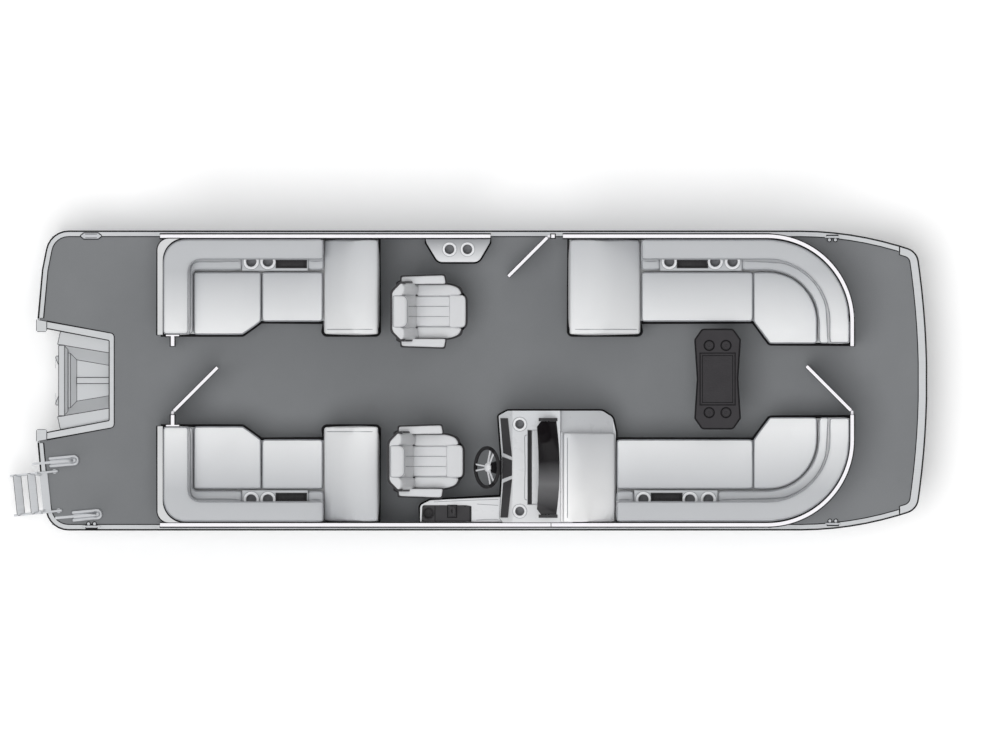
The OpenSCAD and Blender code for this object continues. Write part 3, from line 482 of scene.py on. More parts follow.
def solids(node):
    """A CAD node's separate solids as welded (verts, faces), from the stern forward and from starboard to port."""
    bm = bmesh.new()
    bm.from_mesh(nodes[node].data)
    bmesh.ops.remove_doubles(bm, verts=bm.verts, dist=1e-5)
    bmesh.ops.dissolve_limit(bm, angle_limit=math.radians(1), verts=bm.verts, edges=bm.edges)
    left, found = set(bm.verts), []
    while left:
        stack, island = [next(iter(left))], set()
        while stack:
            v = stack.pop()
            if v in island:
                continue
            island.add(v)
            stack += [e.other_vert(v) for e in v.link_edges]
        left -= island
        order = {v: i for i, v in enumerate(sorted(island, key=lambda v: v.index))}
        faces = [[order[v] for v in f.verts] for f in bm.faces if f.verts[0] in island]
        found.append(([v.co.copy() for v in order], faces))
    bm.free()
    return sorted(found, key=lambda solid: [round(c, 2) for c in middle(solid).xy])


def to_bmesh(solid):
    """A bmesh of a (verts, faces) solid."""
    bm = bmesh.new()
    made = [bm.verts.new(v) for v in solid[0]]
    for f in solid[1]:
        bm.faces.new([made[i] for i in f])
    bm.normal_update()
    return bm


def chained(edges):
    """Orders (a, b) pairs of point indices into closed loops."""
    near = {}
    for a, b in edges:
        near.setdefault(a, []).append(b)
        near.setdefault(b, []).append(a)
    loops = []
    while near:
        start = min(near)
        loop, last = [start], None
        while True:
            options = [p for p in near[loop[-1]] if p != last]
            if not options:
                break
            last = loop[-1]
            if options[0] in loop:
                break
            loop.append(options[0])
        for p in loop:
            near.pop(p, None)
        near = {a: [b for b in bs if b in near] for a, bs in near.items()}
        near = {a: bs for a, bs in near.items() if bs}
        if len(loop) > 2:
            loops.append(loop)
    return loops


def looped(bm, edges):
    """The closed loops of points that some edges of a mesh make."""
    bm.verts.index_update()
    bm.verts.ensure_lookup_table()
    pairs = [(e.verts[0].index, e.verts[1].index) for e in edges]
    return [[bm.verts[i].co.copy() for i in loop] for loop in chained(pairs)]


def rims(node_or_solids, z, facing=1):
    """The outlines of the flat faces that look up (or down) at height z, as closed loops of points."""
    group = solids(node_or_solids) if isinstance(node_or_solids, str) else node_or_solids
    found = []
    for solid in group:
        bm = to_bmesh(solid)
        flat = {f for f in bm.faces if f.normal.z * facing > 0.98 and abs(f.calc_center_median().z - z) < 0.0015}
        found += looped(bm, [e for e in bm.edges if sum(f in flat for f in e.link_faces) == 1])
        bm.free()
    return found


def area(loop):
    """The signed area inside a loop in plan."""
    return sum(a.x * b.y - b.x * a.y for a, b in zip(loop, loop[1:] + loop[:1])) / 2


def grown(loop, out):
    """The loop moved outward in plan by out."""
    turn = 1 if area(loop) > 0 else -1
    made = []
    for i, p in enumerate(loop):
        a, b = loop[i - 1], loop[(i + 1) % len(loop)]
        n = sum((Vector((d.y, -d.x, 0)).normalized() * turn for d in (p - a, b - p)), Vector())
        n = n / max(0.5, n.length_squared / 2)
        made.append(p + n * out)
    return made


def resampled(loop, step):
    """Points evenly spaced along a closed outline, with its corners kept."""
    made = []
    for a, b in zip(loop, loop[1:] + loop[:1]):
        count = max(1, round((b - a).length / step))
        made += [a.lerp(b, k / count) for k in range(count)]
    return made


def widest(node, z, facing=1):
    """The outline at height z that encloses the most."""
    return max(rims(node, z, facing), key=lambda loop: abs(area(loop)))


def beads(name, loops, r, out=0.0, drop=0.0, flat=1.0, sides=8, body="hull"):
    """A round or oval bead of black rubber along each outline."""
    build = Build()
    for loop in loops:
        build.sweep([p - UP * drop for p in grown(loop, out)], circle(r, sides, flat), loop=True)
    build.make(name, "rubber", body)


# ---- Padded pieces ----
PADS = []


def neighbours(obj):
    """Edge ends as two index arrays, and how many edges meet at each point."""
    ends = np.empty(len(obj.data.edges) * 2, np.int64)
    obj.data.edges.foreach_get("vertices", ends)
    a, b = ends.reshape(-1, 2).T
    return a, b, np.bincount(np.concatenate([a, b]), minlength=len(obj.data.vertices))


def relaxed(obj, co, rounds, share=0.5, hold=None):
    """Laplacian smoothing, less where hold is near 1."""
    a, b, count = neighbours(obj)
    for _ in range(rounds):
        total = np.zeros_like(co)
        np.add.at(total, a, co[b])
        np.add.at(total, b, co[a])
        step = (total / count[:, None] - co) * share
        co = co + (step if hold is None else step * (1 - hold[:, None]))
    return co


def near_edges(bm, step, angle):
    """A search tree of points along a solid's sharp edges."""
    pts = []
    for e in bm.edges:
        if len(e.link_faces) == 2 and e.calc_face_angle() > math.radians(angle):
            p, q = (v.co for v in e.verts)
            count = max(1, round((q - p).length / step))
            pts += [p.lerp(q, k / count) for k in range(count + 1)]
    tree = KDTree(len(pts))
    for i, p in enumerate(pts):
        tree.insert(p, i)
    tree.balance()
    return tree


def pad(name, solid, voxel, puff, body, replaced=(), material="vinyl", channels=(), groove=0.005, fill=0.7,
        rounds=3, shrink=0.003, angle=30, cord="piping", welts=()):
    """A cushion from a closed solid: remeshed, pinned along its sewn edges and channels, then blown up by the cloth
    simulation. channels are (axis number, place) planes whose cut through the cushion is sewn down."""
    bm = to_bmesh(solid)
    edges = near_edges(bm, voxel / 2, angle)
    mesh = bpy.data.meshes.new(name)
    bm.to_mesh(mesh)
    bm.free()
    obj = link(bpy.data.objects.new(name, mesh))
    put(obj.modifiers.new("Remesh", "REMESH"), mode="VOXEL", voxel_size=voxel)
    baked(obj)
    co = points(obj)
    sewn = np.array([edges.find(p)[2] < voxel * 0.9 for p in co]) if len(co) else np.zeros(0, bool)
    for axis, place in channels:
        sewn |= np.abs(co[:, axis] - place) < voxel * 0.52
    sewn |= co[:, 2] < co[:, 2].min() + voxel * 0.7
    co = relaxed(obj, co, min(rounds, 3))
    if rounds > 3:
        co = relaxed(obj, co, rounds - 3, 0.6, sewn * 0.97)
    put_points(obj, co)
    co = co - points(obj, "normal") * shrink
    put_points(obj, co)
    PADS.append({"obj": obj, "sewn": sewn, "puff": puff, "groove": groove, "channels": channels, "voxel": voxel,
                 "rest": co, "body": body, "replaced": replaced, "material": material, "fill": fill, "cord": cord,
                 "welts": welts})


def inflate_pads():
    """Runs one cloth simulation over all the pads, then caps how far each point moved."""
    for p in PADS:
        obj = p["obj"]
        group = obj.vertex_groups.new(name="sewn")
        group.add([int(i) for i in np.nonzero(p["sewn"])[0]], 1.0, "REPLACE")
        cloth = obj.modifiers.new("Cloth", "CLOTH")
        put(cloth.point_cache, frame_start=1, frame_end=CLOTH_FRAMES)
        put(cloth.settings, **CLOTH)
        cloth.settings.effector_weights.gravity = 0.0
        cloth.collision_settings.use_collision = False
    put(scene, frame_start=1, frame_end=CLOTH_FRAMES)
    for f in range(1, CLOTH_FRAMES + 1):
        scene.frame_set(f)
    graph = bpy.context.evaluated_depsgraph_get()
    for p in PADS:
        p["blown"] = points(p["obj"].evaluated_get(graph))
    for p in PADS:
        p["obj"].modifiers.clear()
        p["obj"].vertex_groups.clear()
    scene.frame_set(1)
    for p in PADS:
        finish_pad(p)


def finish_pad(p):
    """Caps the swelling, presses the channels in and dresses the pad. Without a simulation it swells by its normals."""
    obj, rest = p["obj"], p["rest"]
    if "blown" in p:
        move = p["blown"] - rest
        far = np.maximum(np.linalg.norm(move, axis=1), 1e-9)
        move *= (p["puff"] * np.tanh(far / p["puff"]) / far)[:, None]
        co = rest + move
    else:
        reach = relaxed(obj, np.repeat((~p["sewn"]).astype(float)[:, None], 3, 1), 12, 0.6)
        co = rest + points(obj, "normal") * reach * p["puff"] * 0.8
    put_points(obj, co)
    co = relaxed(obj, co, 2, 0.5)
    put_points(obj, co)
    n = points(obj, "normal")
    for axis, place in p["channels"]:
        dip = np.exp(-(((rest[:, axis] - place) / (p["voxel"] * 0.9)) ** 2))
        co = co - n * (dip * p["groove"])[:, None]
    put_points(obj, co)
    dress(obj, p["material"], p["body"])
    if p["replaced"]:
        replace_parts(obj, *p["replaced"])


def section(obj, axis, place):
    """The loops where a plane square to an axis cuts a mesh."""
    bm = bmesh.new()
    bm.from_mesh(obj.data)
    square = Vector([float(k == axis) for k in range(3)])
    cut = bmesh.ops.bisect_plane(bm, geom=bm.verts[:] + bm.edges[:] + bm.faces[:], dist=1e-6,
                                 plane_co=square * place, plane_no=square)["geom_cut"]
    loops = looped(bm, [e for e in cut if isinstance(e, bmesh.types.BMEdge)])
    bm.free()
    return [loop for loop in loops if len(loop) > 12]


def softened(loop, rounds=3):
    """A closed loop with its kinks smoothed."""
    for _ in range(rounds):
        loop = [(loop[i - 1] + loop[i] * 2 + loop[(i + 1) % len(loop)]) / 4 for i in range(len(loop))]
    return loop


def welt(build, obj, loops, r=0.0045, step=0.02, sink=0.2):
    """Piping laid on a finished pad along the given outlines."""
    tree = BVHTree.FromPolygons([v.co for v in obj.data.vertices], [tuple(p.vertices) for p in obj.data.polygons])
    for loop in loops:
        path = []
        for q in resampled(loop, step):
            spot, normal, _, _ = tree.find_nearest(q)
            path.append(spot + normal * r * (1 - sink))
        build.tube(softened(path, 2), r, 6, loop=True)


# ---- Lounges ----
def lounge_pads():
    """Seat lids, corner seats, backrests and chaises."""
    for base in BASES:
        part = base.removesuffix("_base")
        pad(f"{part}_cushion", solids(f"{part}_lid")[0], 0.012, 0.016, f"{part}_seat", (f"{part}_lid",), fill=0.75)
    for node, part, voxel, puff, more in (
            ("corner_seats", "corner_cushion", 0.013, 0.016, {"fill": 0.75}),
            ("backrests", "backrest", 0.017, 0.012, {"fill": 0.8, "rounds": 2}),
            ("chaise_backs", "chaise", 0.016, 0.016, {"fill": 0.8, "rounds": 60, "groove": 0.004, "angle": 38,
                                                      "material": "vinyl_chaise"})):
        for solid in solids(node):
            x, y, _ = middle(solid)
            side, end = "port" if y > 0 else "starboard", "aft" if x < 0 else "bow"
            channels = [(1, math.copysign(0.445, y))] if part == "chaise" else ()
            pad(f"{side}_{end}_{part}", solid, voxel, puff, "hull", (node,), channels=channels, **more)
    pad("console_lean", solids("console_backrest")[0], 0.014, 0.014, "hull", ("console_backrest",),
        material="vinyl_helm", fill=0.8, channels=[(0, 0.862)], groove=0.003, rounds=24, angle=40)


def lounge_piping():
    """Welts along the pads' sewn edges, and a cord in each sewn channel."""
    cords = {}
    for p in PADS:
        obj, node = p["obj"], p["replaced"][0]
        build = cords.setdefault((p["body"], p["cord"]), Build())
        for axis, place in p["channels"]:
            for loop in section(obj, axis, place):
                build.tube(softened(loop[::2]), 0.0032 if "chair" in obj.name else 0.004, 6, loop=True)
        if p["welts"]:
            welt(build, obj, p["welts"], 0.0032, 0.012)
        if "chair" in node or node == "chaise_backs":
            continue
        centre = Vector(np.mean(p["rest"], axis=0))
        solid = min(solids(node), key=lambda each: (middle(each) - centre).length)
        heights = sorted({round(v.z, 4) for v in solid[0]})
        welt(build, obj, [loop for z in heights[1:] for loop in rims([solid], z)])
        if node not in ("backrests", "console_backrest"):
            welt(build, obj, [[q + UP * 0.012 for q in loop] for loop in rims([solid], heights[0], -1)], 0.004)
    for (body, cord), build in cords.items():
        if build.verts:
            build.make(f"{body}_{cord}_cords", cord, body, "vinyl")


def base_bumpers():
    """Black rubber edging round the foot of the seats, consoles and pod."""
    beads("seat_bumpers", [widest(name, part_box(name)[1].z) for name in BASES], 0.012, 0.014, 0.014, 1.2)
    beads("shell_edging", rims("lounge_shells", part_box("lounge_shells")[1].z), 0.006, 0.004, 0.012, 1.3)
    feet = [widest(name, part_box(name)[0].z, -1) for name in ("helm_console", "side_console", "drink_pod")]
    beads("console_feet", feet, 0.011, 0.004, -0.012, 1.4)


# ---- Cups and trays ----
def tray(build, low, high, top):
    """A dark liner with a ribbed mat and a lip that laps the edge."""
    build.block((low.x - 0.004, low.y - 0.004, low.z - 0.001), (high.x + 0.004, high.y + 0.004, low.z + 0.003), 0.001)
    for k in range(1, 9):
        x = low.x + (high.x - low.x) * k / 9
        build.block((x - 0.003, low.y + 0.004, low.z + 0.002), (x + 0.003, high.y - 0.004, low.z + 0.006), 0.001)
    frame_strip(build, (low.x + 0.001, low.y + 0.001), (high.x - 0.001, high.y - 0.001), top, 0.008, 0.0035)
    (x0, y0), (x1, y1), past, thick = low.xy, high.xy, 0.001, 0.002
    for a, b in (((x0 - past, y0 - past), (x0 + thick, y1 + past)), ((x1 - thick, y0 - past), (x1 + past, y1 + past)),
                 ((x0, y0 - past), (x1, y0 + thick)), ((x0, y1 - thick), (x1, y1 + past))):
        build.block((*a, low.z), (*b, top), 0.0005)


def cups():
    """Rings and liners in the cup holders, and mats in the lounges' trays."""
    rings, liners, dark_rings, outlines, mats, table_rings, table_liners = (Build() for _ in range(7))
    high_of = lambda node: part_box(node)[1].z
    # Name's start: the top's height, the ring's width past the cup or its whole radius, ring and liner
    kinds = {"table": (high_of("table_top"), 0.007, None, table_rings, table_liners),
             "drink_pod": (high_of("drink_pod"), 0.016, None, rings, liners),
             "side_console": (high_of("throttle"), 0.006, None, dark_rings, dark_rings),
             "console": (DECK + 0.8505, None, 0.060, rings, liners), "": (SHELF, None, 0.068, rings, liners)}
    for name, (low, high) in openings.items():
        if "_tray" in name and "console" not in name:
            tray(mats, low, high, SHELF)
        if "_cup" not in name:
            continue
        r = (high.x - low.x) / 2 * math.sqrt(2) + 0.0018
        top, past, wide, ring, liner = next(kind for start, kind in kinds.items() if name.startswith(start))
        wide = wide or r + past
        centre, deep = (*((low + high) / 2).xy, top), low.z - top
        ring.lathe([(r - 0.004, -0.004), (r - 0.003, 0.001), (r, 0.0035), ((r + wide) / 2, 0.0045),
                    (wide - 0.002, 0.003), (wide, 0.0), (wide, -0.002)], centre, sides=40, loop=True)
        if ring is rings:
            outlines.lathe([(wide + 0.0005, -0.002), (wide + 0.0005, 0.0018), (wide + 0.002, 0.0028),
                            (wide + 0.0035, 0.0015), (wide + 0.0035, -0.002)], centre, sides=40, loop=True)
        liner.lathe([(r - 0.0005, 0.0), (r - 0.003, -0.002), (r - 0.006, deep + 0.006), (r - 0.012, deep + 0.003),
                     (0.012, deep + 0.002), (0.010, deep + 0.004), (0.0005, deep + 0.004),
                     (0.0005, deep + 0.0006), (r - 0.006, deep + 0.0006), (r - 0.0004, -0.003)], centre, sides=40,
                    loop=True)
    rings.make("cup_rings", "ring", slot="furniture_shell")
    liners.make("cup_liners", "liner", slot="furniture_shell")
    outlines.make("cup_gaskets", "piping")
    dark_rings.make("side_cup", "dark")
    table_rings.make("table_cup_rings", "rubber", "table")
    table_liners.make("table_cup_liners", "table", "table")
    mats.make("tray_mats", "dark")


# ---- Deck edge and fences ----
def deck_edging():
    """Rub rail round the outside and gaskets along the trims' seams."""
    beads("rub_rail", [widest("deck", DECK)], 0.008, 0.010, 0.016, 1.6)
    seams = []
    for name in ("port_edge_trim", "starboard_edge_trim", "bow_edge_trim", "motor_well_trim"):
        seams += rims(name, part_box(name)[1].z)
    beads("trim_gaskets", seams, 0.0042, drop=0.0004, sides=6)


def fence_beads():
    """Black beads beside the fences' and gates' top rails. The gates' are slimmer, to clear the posts."""
    joint = Build().block((0.7165, -1.2725, FENCE_TOP - 0.033), (0.7225, -1.2375, FENCE_TOP + 0.0012), 0.001)
    joint.make("rail_joint", "rubber")
    for body in ("hull", "bow_gate", "side_gate", "stern_gate"):
        loops = []
        for name in FENCES + ["gate_posts"] if body == "hull" else [f"{body}_frame"]:
            loops += rims(name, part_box(name)[1].z)
        r, out = (0.0060, 0.003) if body == "hull" else (0.0035, 0.0005)
        beads(f"{body}_rail_beads", loops, r, out, 0.013, sides=6, body=body)


# ---- Chairs ----
def loft(rings):
    """A solid through rings of points in millimetres, capped at both ends."""
    build = Build().skin([[Vector(p) * MM for p in ring] for ring in rings])
    return build.verts, build.faces


def prism(outline, low, high):
    """A solid from a plan outline in millimetres between two heights."""
    return loft([[(x, y, z) for x, y in outline] for z in (low, high)])


def mirrored(outline):
    """The points and their mirror images across the chair's middle, as one outline."""
    return outline + [(x, -y) for x, y in reversed(outline)]


def corner(a, b, c, r, n=5):
    """Points round corner b, which is cut back by r on both sides."""
    a, b, c = Vector(a), Vector(b), Vector(c)
    p, q = b + (a - b).normalized() * r, b + (c - b).normalized() * r
    return [tuple(p.lerp(b, t).lerp(b.lerp(q, t), t)) for t in (k / n for k in range(n + 1))]


def rounded(outline, radii):
    """A closed outline with each corner cut back by its own radius."""
    made = []
    for i, (p, r) in enumerate(zip(outline, radii)):
        made += corner(outline[i - 1], p, outline[(i + 1) % len(outline)], r) if r else [p]
    return made


# The winged back, from the seat up: its height, and how far aft its rear, its wings' front and its hollow are
BACK = [(520, -284, -98, -246), (600, -294, -104, -258), (700, -306, -124, -270), (800, -316, -152, -282),
        (868, -321, -176, -290), (880, -323, -182, -292), (950, -328, -206, -298), (992, -332, -226, -302)]
HEAD_WELT = 990


def back_rings(half_of, drop=0):
    """One plan outline for each height of the back, from the port half that half_of gives."""
    return [[(x, y, z - drop) for x, y in mirrored(half_of(*places))] for z, *places in BACK]


def wrap_half(rear, front, hollow):
    """The padding of the back, wings and all."""
    outer = rounded([(front, 164), (front, 246), (rear + 82, 247), (rear + 7, 170), (rear + 7, 60)], [0, 36, 14, 16, 0])
    return [(hollow, 60), (hollow, 122), (hollow + 12, 136), (front - 40, 138), (front - 8, 146)] + outer


def shell_half(rear, front, hollow):
    """The plastic tray behind that padding."""
    lead = max(front - 26, rear + 116)
    outer = rounded([(lead, 239), (lead, 262), (rear + 76, 263), (rear - 11, 177), (rear - 11, 40)], [0, 8, 20, 24, 0])
    return [(rear + 9, 40), (rear + 9, 166), (rear + 84, 240), (lead - 12, 240)] + outer


def chair_solids():
    """Name, solid, voxel, puff, fill and the sewn channels' places across the chair."""
    seat_z = 402
    wing = rounded([(-112, 136), (-112, 234), (186, 234), (262, 196), (276, 146), (176, 136)], [14, 26, 60, 34, 12, 4])
    centre = rounded([(-186, -133), (196, -133), (196, 133), (-186, 133)], [10] * 4)
    bolster = rounded([(172, -141), (312, -141), (312, 141), (172, 141)], [10, 40, 40, 10])
    arm = rounded([(-243, 238), (139, 240), (126, 313), (-243, 300)], [6, 8, 13, 12])
    spine = [(-250, 530), (-142, 530), (-122, 560), (-118, 604), (-140, 680), (-178, 770), (-200, 862), (-286, 862),
             (-268, 700)]
    head = [[(x, y, z) for x, y in rounded([(rear, -136), (front, -136), (front, 136), (rear, 136)], [10, 52, 52, 10])]
            for z, rear, front in ((862, -290, -206), (886, -296, -188), (944, -312, -184),
                                   (HEAD_WELT, -318, -194), (1010, -314, -216))]
    yield "seat", prism(centre, seat_z, 520), 0.0085, 0.012, 0.7, (-44, 44)
    for side, turn in (("port", 1), ("starboard", -1)):
        yield f"{side}_wing", prism([(x, y * turn) for x, y in wing[::turn]], seat_z, 548), 0.009, 0.014, 0.7, ()
        yield f"{side}_arm", prism([(x, y * turn) for x, y in arm[::turn]], 640, 684), 0.0075, 0.010, 0.75, ()
    yield "bolster", prism(bolster, 436, 552), 0.009, 0.014, 0.8, ()
    yield "back_wrap", loft(back_rings(wrap_half)), 0.010, 0.010, 0.8, ()
    yield "back_centre", loft([[(x, y, z) for x, z in spine] for y in (-146, 146)]), 0.0085, 0.010, 0.7, (-44, 44)
    yield "head_pad", loft(head), 0.0085, 0.012, 0.8, ()


def chair_shell(name, at):
    """The moulded shell: a pan under the seat, a back tray round the pad, and arms."""
    build = Build(Matrix.Translation(at))
    pan = rounded(mirrored([(-268, 170), (-200, 242), (-112, 247), (190, 249), (280, 208), (294, 158), (331, 142)]),
                  [50, 40, 10, 64, 26, 8, 50, 50, 8, 26, 64, 10, 40, 50])

    def moulding(outline, levels):
        flat = [Vector((*p, 0)) for p in outline]
        build.add(*loft([[(p.x, p.y, z) for p in grown(flat, out)] for out, z in levels]))

    moulding(pan, [(-34, 380), (-20, 392), (-2, 408), (0, 420), (0, 432), (-3, 436)])
    build.add(*loft(back_rings(shell_half, 8)))
    build.block((-0.285, -0.15, 0.385), (-0.225, 0.15, 0.54), 0.008)
    for s in (-1, 1):
        moulding(rounded([(-256, 232 * s), (152, 232 * s), (137, 326 * s), (-256, 313 * s)], [8, 12, 20, 18]),
                 [(-22, 606), (-6, 616), (0, 626), (0, 640), (-3, 643)])
        build.sweep([(-0.262, s * 0.238, 0.50), (-0.245, s * 0.250, 0.56), (-0.205, s * 0.262, 0.60),
                     (-0.12, s * 0.270, 0.618)], [(-0.012, -0.03), (0.012, -0.03), (0.012, 0.03), (-0.012, 0.03)],
                    up=AHEAD)
    build.lathe([(0.088, 0.3485), (0.090, 0.352), (0.090, 0.376), (0.086, 0.380), (0.12, 0.386), (0.12, 0.392)],
                sides=48)
    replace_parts(build.make(f"{name}_shell", "dark", name, smooth=35), f"{name}_shell")


def chair_pads():
    """The port chair's pads. The helm chair gets copies of them once they are blown up."""
    for part, solid, voxel, puff, fill, channels in chair_solids():
        verts, faces = [v + PORT_CHAIR for v in solid[0]], solid[1]
        outline = [v for v in verts if abs(v.z - PORT_CHAIR.z - HEAD_WELT * MM) < 1e-6] if part == "head_pad" else []
        pad(f"port_chair_{part}", (verts, faces), voxel, puff, "port_chair", ("port_chair_cushions",), "vinyl_chair",
            [(1, PORT_CHAIR.y + y * MM) for y in channels], groove=0.003, fill=fill, shrink=-0.0005, angle=34,
            cord="stitching", welts=[outline] if outline else [])


def helm_chair_pads():
    """The port chair's pads again, on the helm chair."""
    offset = HELM_CHAIR - PORT_CHAIR
    for p in [p for p in PADS if p["body"] == "port_chair"]:
        twin = link(bpy.data.objects.new(p["obj"].name.replace("port_", "helm_", 1), p["obj"].data.copy()))
        twin.data.transform(Matrix.Translation(offset))
        dress(twin, p["material"], "helm_chair")
        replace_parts(twin, "helm_chair_cushions")
        PADS.append({**p, "obj": twin, "body": "helm_chair", "rest": p["rest"] + np.array(offset),
                     "channels": [(1, place + offset.y) for _, place in p["channels"]],
                     "welts": [[q + offset for q in loop] for loop in p["welts"]]})


# ---- Steering wheel ----
def steering():
    """Stitched rim with rubber grips, three split spokes, a hub, and a boot round the column."""
    place = Matrix.Translation((0.163, -0.756, DECK + 0.760)) @ Matrix.Rotation(math.radians(-54), 4, "Y")
    rim, grips, metalwork, boss, boot = (Build(place) for _ in range(5))
    radius, spokes = 0.1705, (60, 180, 300)

    def outward(degrees):
        return Vector((math.cos(math.radians(degrees)), math.sin(math.radians(degrees)), 0))

    rim.tube(hoop((0, 0, 0), radius, 96), 0.0156, 14, loop=True)
    for a in range(0, 360, 6):
        if min(abs((a - b + 180) % 360 - 180) for b in spokes) >= 15:
            rim.tube(hoop(outward(a) * radius, 0.0148, 14, outward(a), UP), 0.0011, 5, loop=True)
    for a in spokes:
        turn = Matrix.Rotation(math.radians(a), 4, "Z")
        for s in (-1, 1):
            path = [turn @ Vector(q) for q in ((0.020, s * 0.011, -0.006), (0.060, s * 0.015, -0.003),
                                               (0.110, s * 0.021, 0.001), (0.166, s * 0.030, 0.004))]
            metalwork.sweep(path, [(-0.0070, -0.004), (0.0070, -0.004), (0.0075, 0.0), (0.0060, 0.005),
                                   (-0.0060, 0.005), (-0.0075, 0.0)])
        grips.tube([outward(a + b) * radius + UP * 0.0005 for b in range(-11, 12, 2)], 0.0163, 14)
        for b in (-12, 12):
            metalwork.tube(hoop(outward(a + b) * radius, 0.0155, 16, outward(a + b), UP), 0.0018, 6, loop=True)
    metalwork.lathe([(0.012, -0.020), (0.036, -0.018), (0.040, -0.010), (0.038, 0.002), (0.031, 0.009),
                     (0.022, 0.012), (0.020, 0.011)], sides=40)
    metalwork.lathe([(0.0205, 0.008), (0.0205, 0.0125), (0.0185, 0.0145), (0.010, 0.016), (0.0005, 0.0165)])
    boss.lathe([(0.026, -0.028), (0.034, -0.026), (0.035, -0.018), (0.020, -0.016)])
    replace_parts(rim.make("wheel_rim", "grip", "steering_wheel", "wheel_rim"), "steering_wheel")
    grips.make("wheel_grips", "rubber", "steering_wheel", "wheel_rim")
    metalwork.make("wheel_spokes", "silver", "steering_wheel", "polished_metal")
    boss.make("wheel_boss", "dark", "steering_wheel")
    profile = [(0.026, -0.036), (0.034, -0.037)]
    for k in range(6):
        z = -0.044 - k * 0.017
        profile += [(0.042 + k * 0.004, z), (0.043 + k * 0.004, z - 0.006), (0.036 + k * 0.004, z - 0.0115)]
    boot.lathe(profile + [(0.066, -0.150), (0.066, -0.156), (0.024, -0.158)], sides=36)
    boot.make("column_boot", "rubber")


# ---- Console, pod, table and motor well details ----
def frame_strip(build, low, high, z, wide, thick, edge=0.0012):
    """A flat rectangular frame on a level top, between an inner box and one that is wider all round."""
    (x0, y0), (x1, y1) = low, high
    for a, b in (((x0 - wide, y0 - wide), (x1 + wide, y0)), ((x0 - wide, y1), (x1 + wide, y1 + wide)),
                 ((x0 - wide, y0 - wide), (x0, y1 + wide)), ((x1, y0 - wide), (x1 + wide, y1 + wide))):
        build.block((*a, z - 0.001), (*b, z + thick), edge)


def line_on(build, path, height_at, r, loop=False):
    """A thin line drawn on a top whose height at x is given by height_at."""
    build.tube([Vector((x, y, height_at(x))) for x, y in path], r, 6, loop)


def console_details():
    """The tray's mat and floor, seams, the cushion's welt and the windscreen's clips."""
    low, high = openings["console_tray"]
    rubber, light, lines, fills, foot = (Build() for _ in range(5))
    rubber.block((low.x, low.y, low.z - 0.001), (low.x + 0.031, high.y, low.z + 0.004), 0.001)
    rubber.block((low.x - 0.003, low.y - 0.003, low.z), (low.x + 0.001, high.y + 0.003, high.z + 0.001), 0.0008)
    for k in range(1, 40):
        y = low.y + (high.y - low.y) * k / 40
        rubber.block((low.x + 0.003, y - 0.002, low.z + 0.003), (low.x + 0.028, y + 0.002, low.z + 0.006), 0.0008)
    light.block((low.x + 0.032, low.y, low.z - 0.001), (high.x, high.y, low.z + 0.010), 0.004)
    edge = [(low.x - 0.004, low.y - 0.004), (high.x + 0.004, low.y - 0.004), (high.x + 0.004, high.y + 0.004),
            (low.x - 0.004, high.y + 0.004)]
    top = lambda x: DECK + 0.846 + (x - 0.385) * 0.0339 if x < 0.798 else DECK + 0.86
    line_on(lines, edge, lambda x: top(x) + 0.0006, 0.0028, loop=True)
    line_on(lines, [(0.512, -1.040), (0.493, -1.034), (0.489, -1.015), (0.494, -0.757), (0.489, -0.500),
                    (0.493, -0.479), (0.512, -0.472)], lambda x: top(x) + 0.0008, 0.0028)
    fills.tube([(0.812, -1.228, DECK + 0.792), (0.812, -0.452, DECK + 0.792)], 0.011, 12)
    for s in (-1, 1):
        y = -0.760 + s * 0.399
        foot.block((0.640, y - 0.007, DECK + 0.846), (0.782, y + 0.007, DECK + 0.856), 0.002)
        for x, z in ((0.700, 0.87), (0.672, 0.915), (0.640, 0.96)):
            foot.lathe([(0.004, -0.010), (0.009, -0.009), (0.009, 0.006), (0.006, 0.010)],
                       (x, -0.760 + s * 0.412, DECK + z), TO_PORT * s, 16)
    fills.make("console_cushion_welt", "vinyl_helm", slot="vinyl")
    rubber.make("console_tray_mat", "dark")
    light.make("console_tray_floor", "console", slot="furniture_shell")
    lines.make("console_seams", "piping")
    foot.make("screen_clips", "rubber")


def side_console_details():
    """Trim on the throttle's panel and seams on the side console's top."""
    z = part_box("throttle")[1].z
    panel, lines = Build(), Build()
    panel.block((-0.292, -1.222, z - 0.001), (-0.286, -1.090, z + 0.003), 0.001)
    frame_strip(panel, (-0.176, -1.186), (-0.104, -1.088), z, 0.007, 0.004)
    panel.block((0.012, -1.222, z - 0.001), (0.020, -1.098, z + 0.003), 0.001)
    for x, y in ((-0.394, -1.216), (0.016, -1.216), (-0.390, -1.096), (-0.028, -1.094)):
        panel.lathe([(0.0055, -0.001), (0.0055, 0.0012), (0.0035, 0.0026), (0.0005, 0.0028)], (x, y, z), sides=16)
    panel.make("throttle_panel_trim", "rubber")
    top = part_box("side_console")[1].z + 0.0003
    for path in ([(-0.30, -1.056), (-0.10, -1.046), (0.10, -1.038), (0.262, -1.034)],
                 [(0.075, -1.074), (0.262, -1.086)], [(0.070, -1.214), (0.150, -1.208), (0.262, -1.206)]):
        line_on(lines, path, lambda x: top, 0.0024)
    lines.make("side_console_seams", "piping")


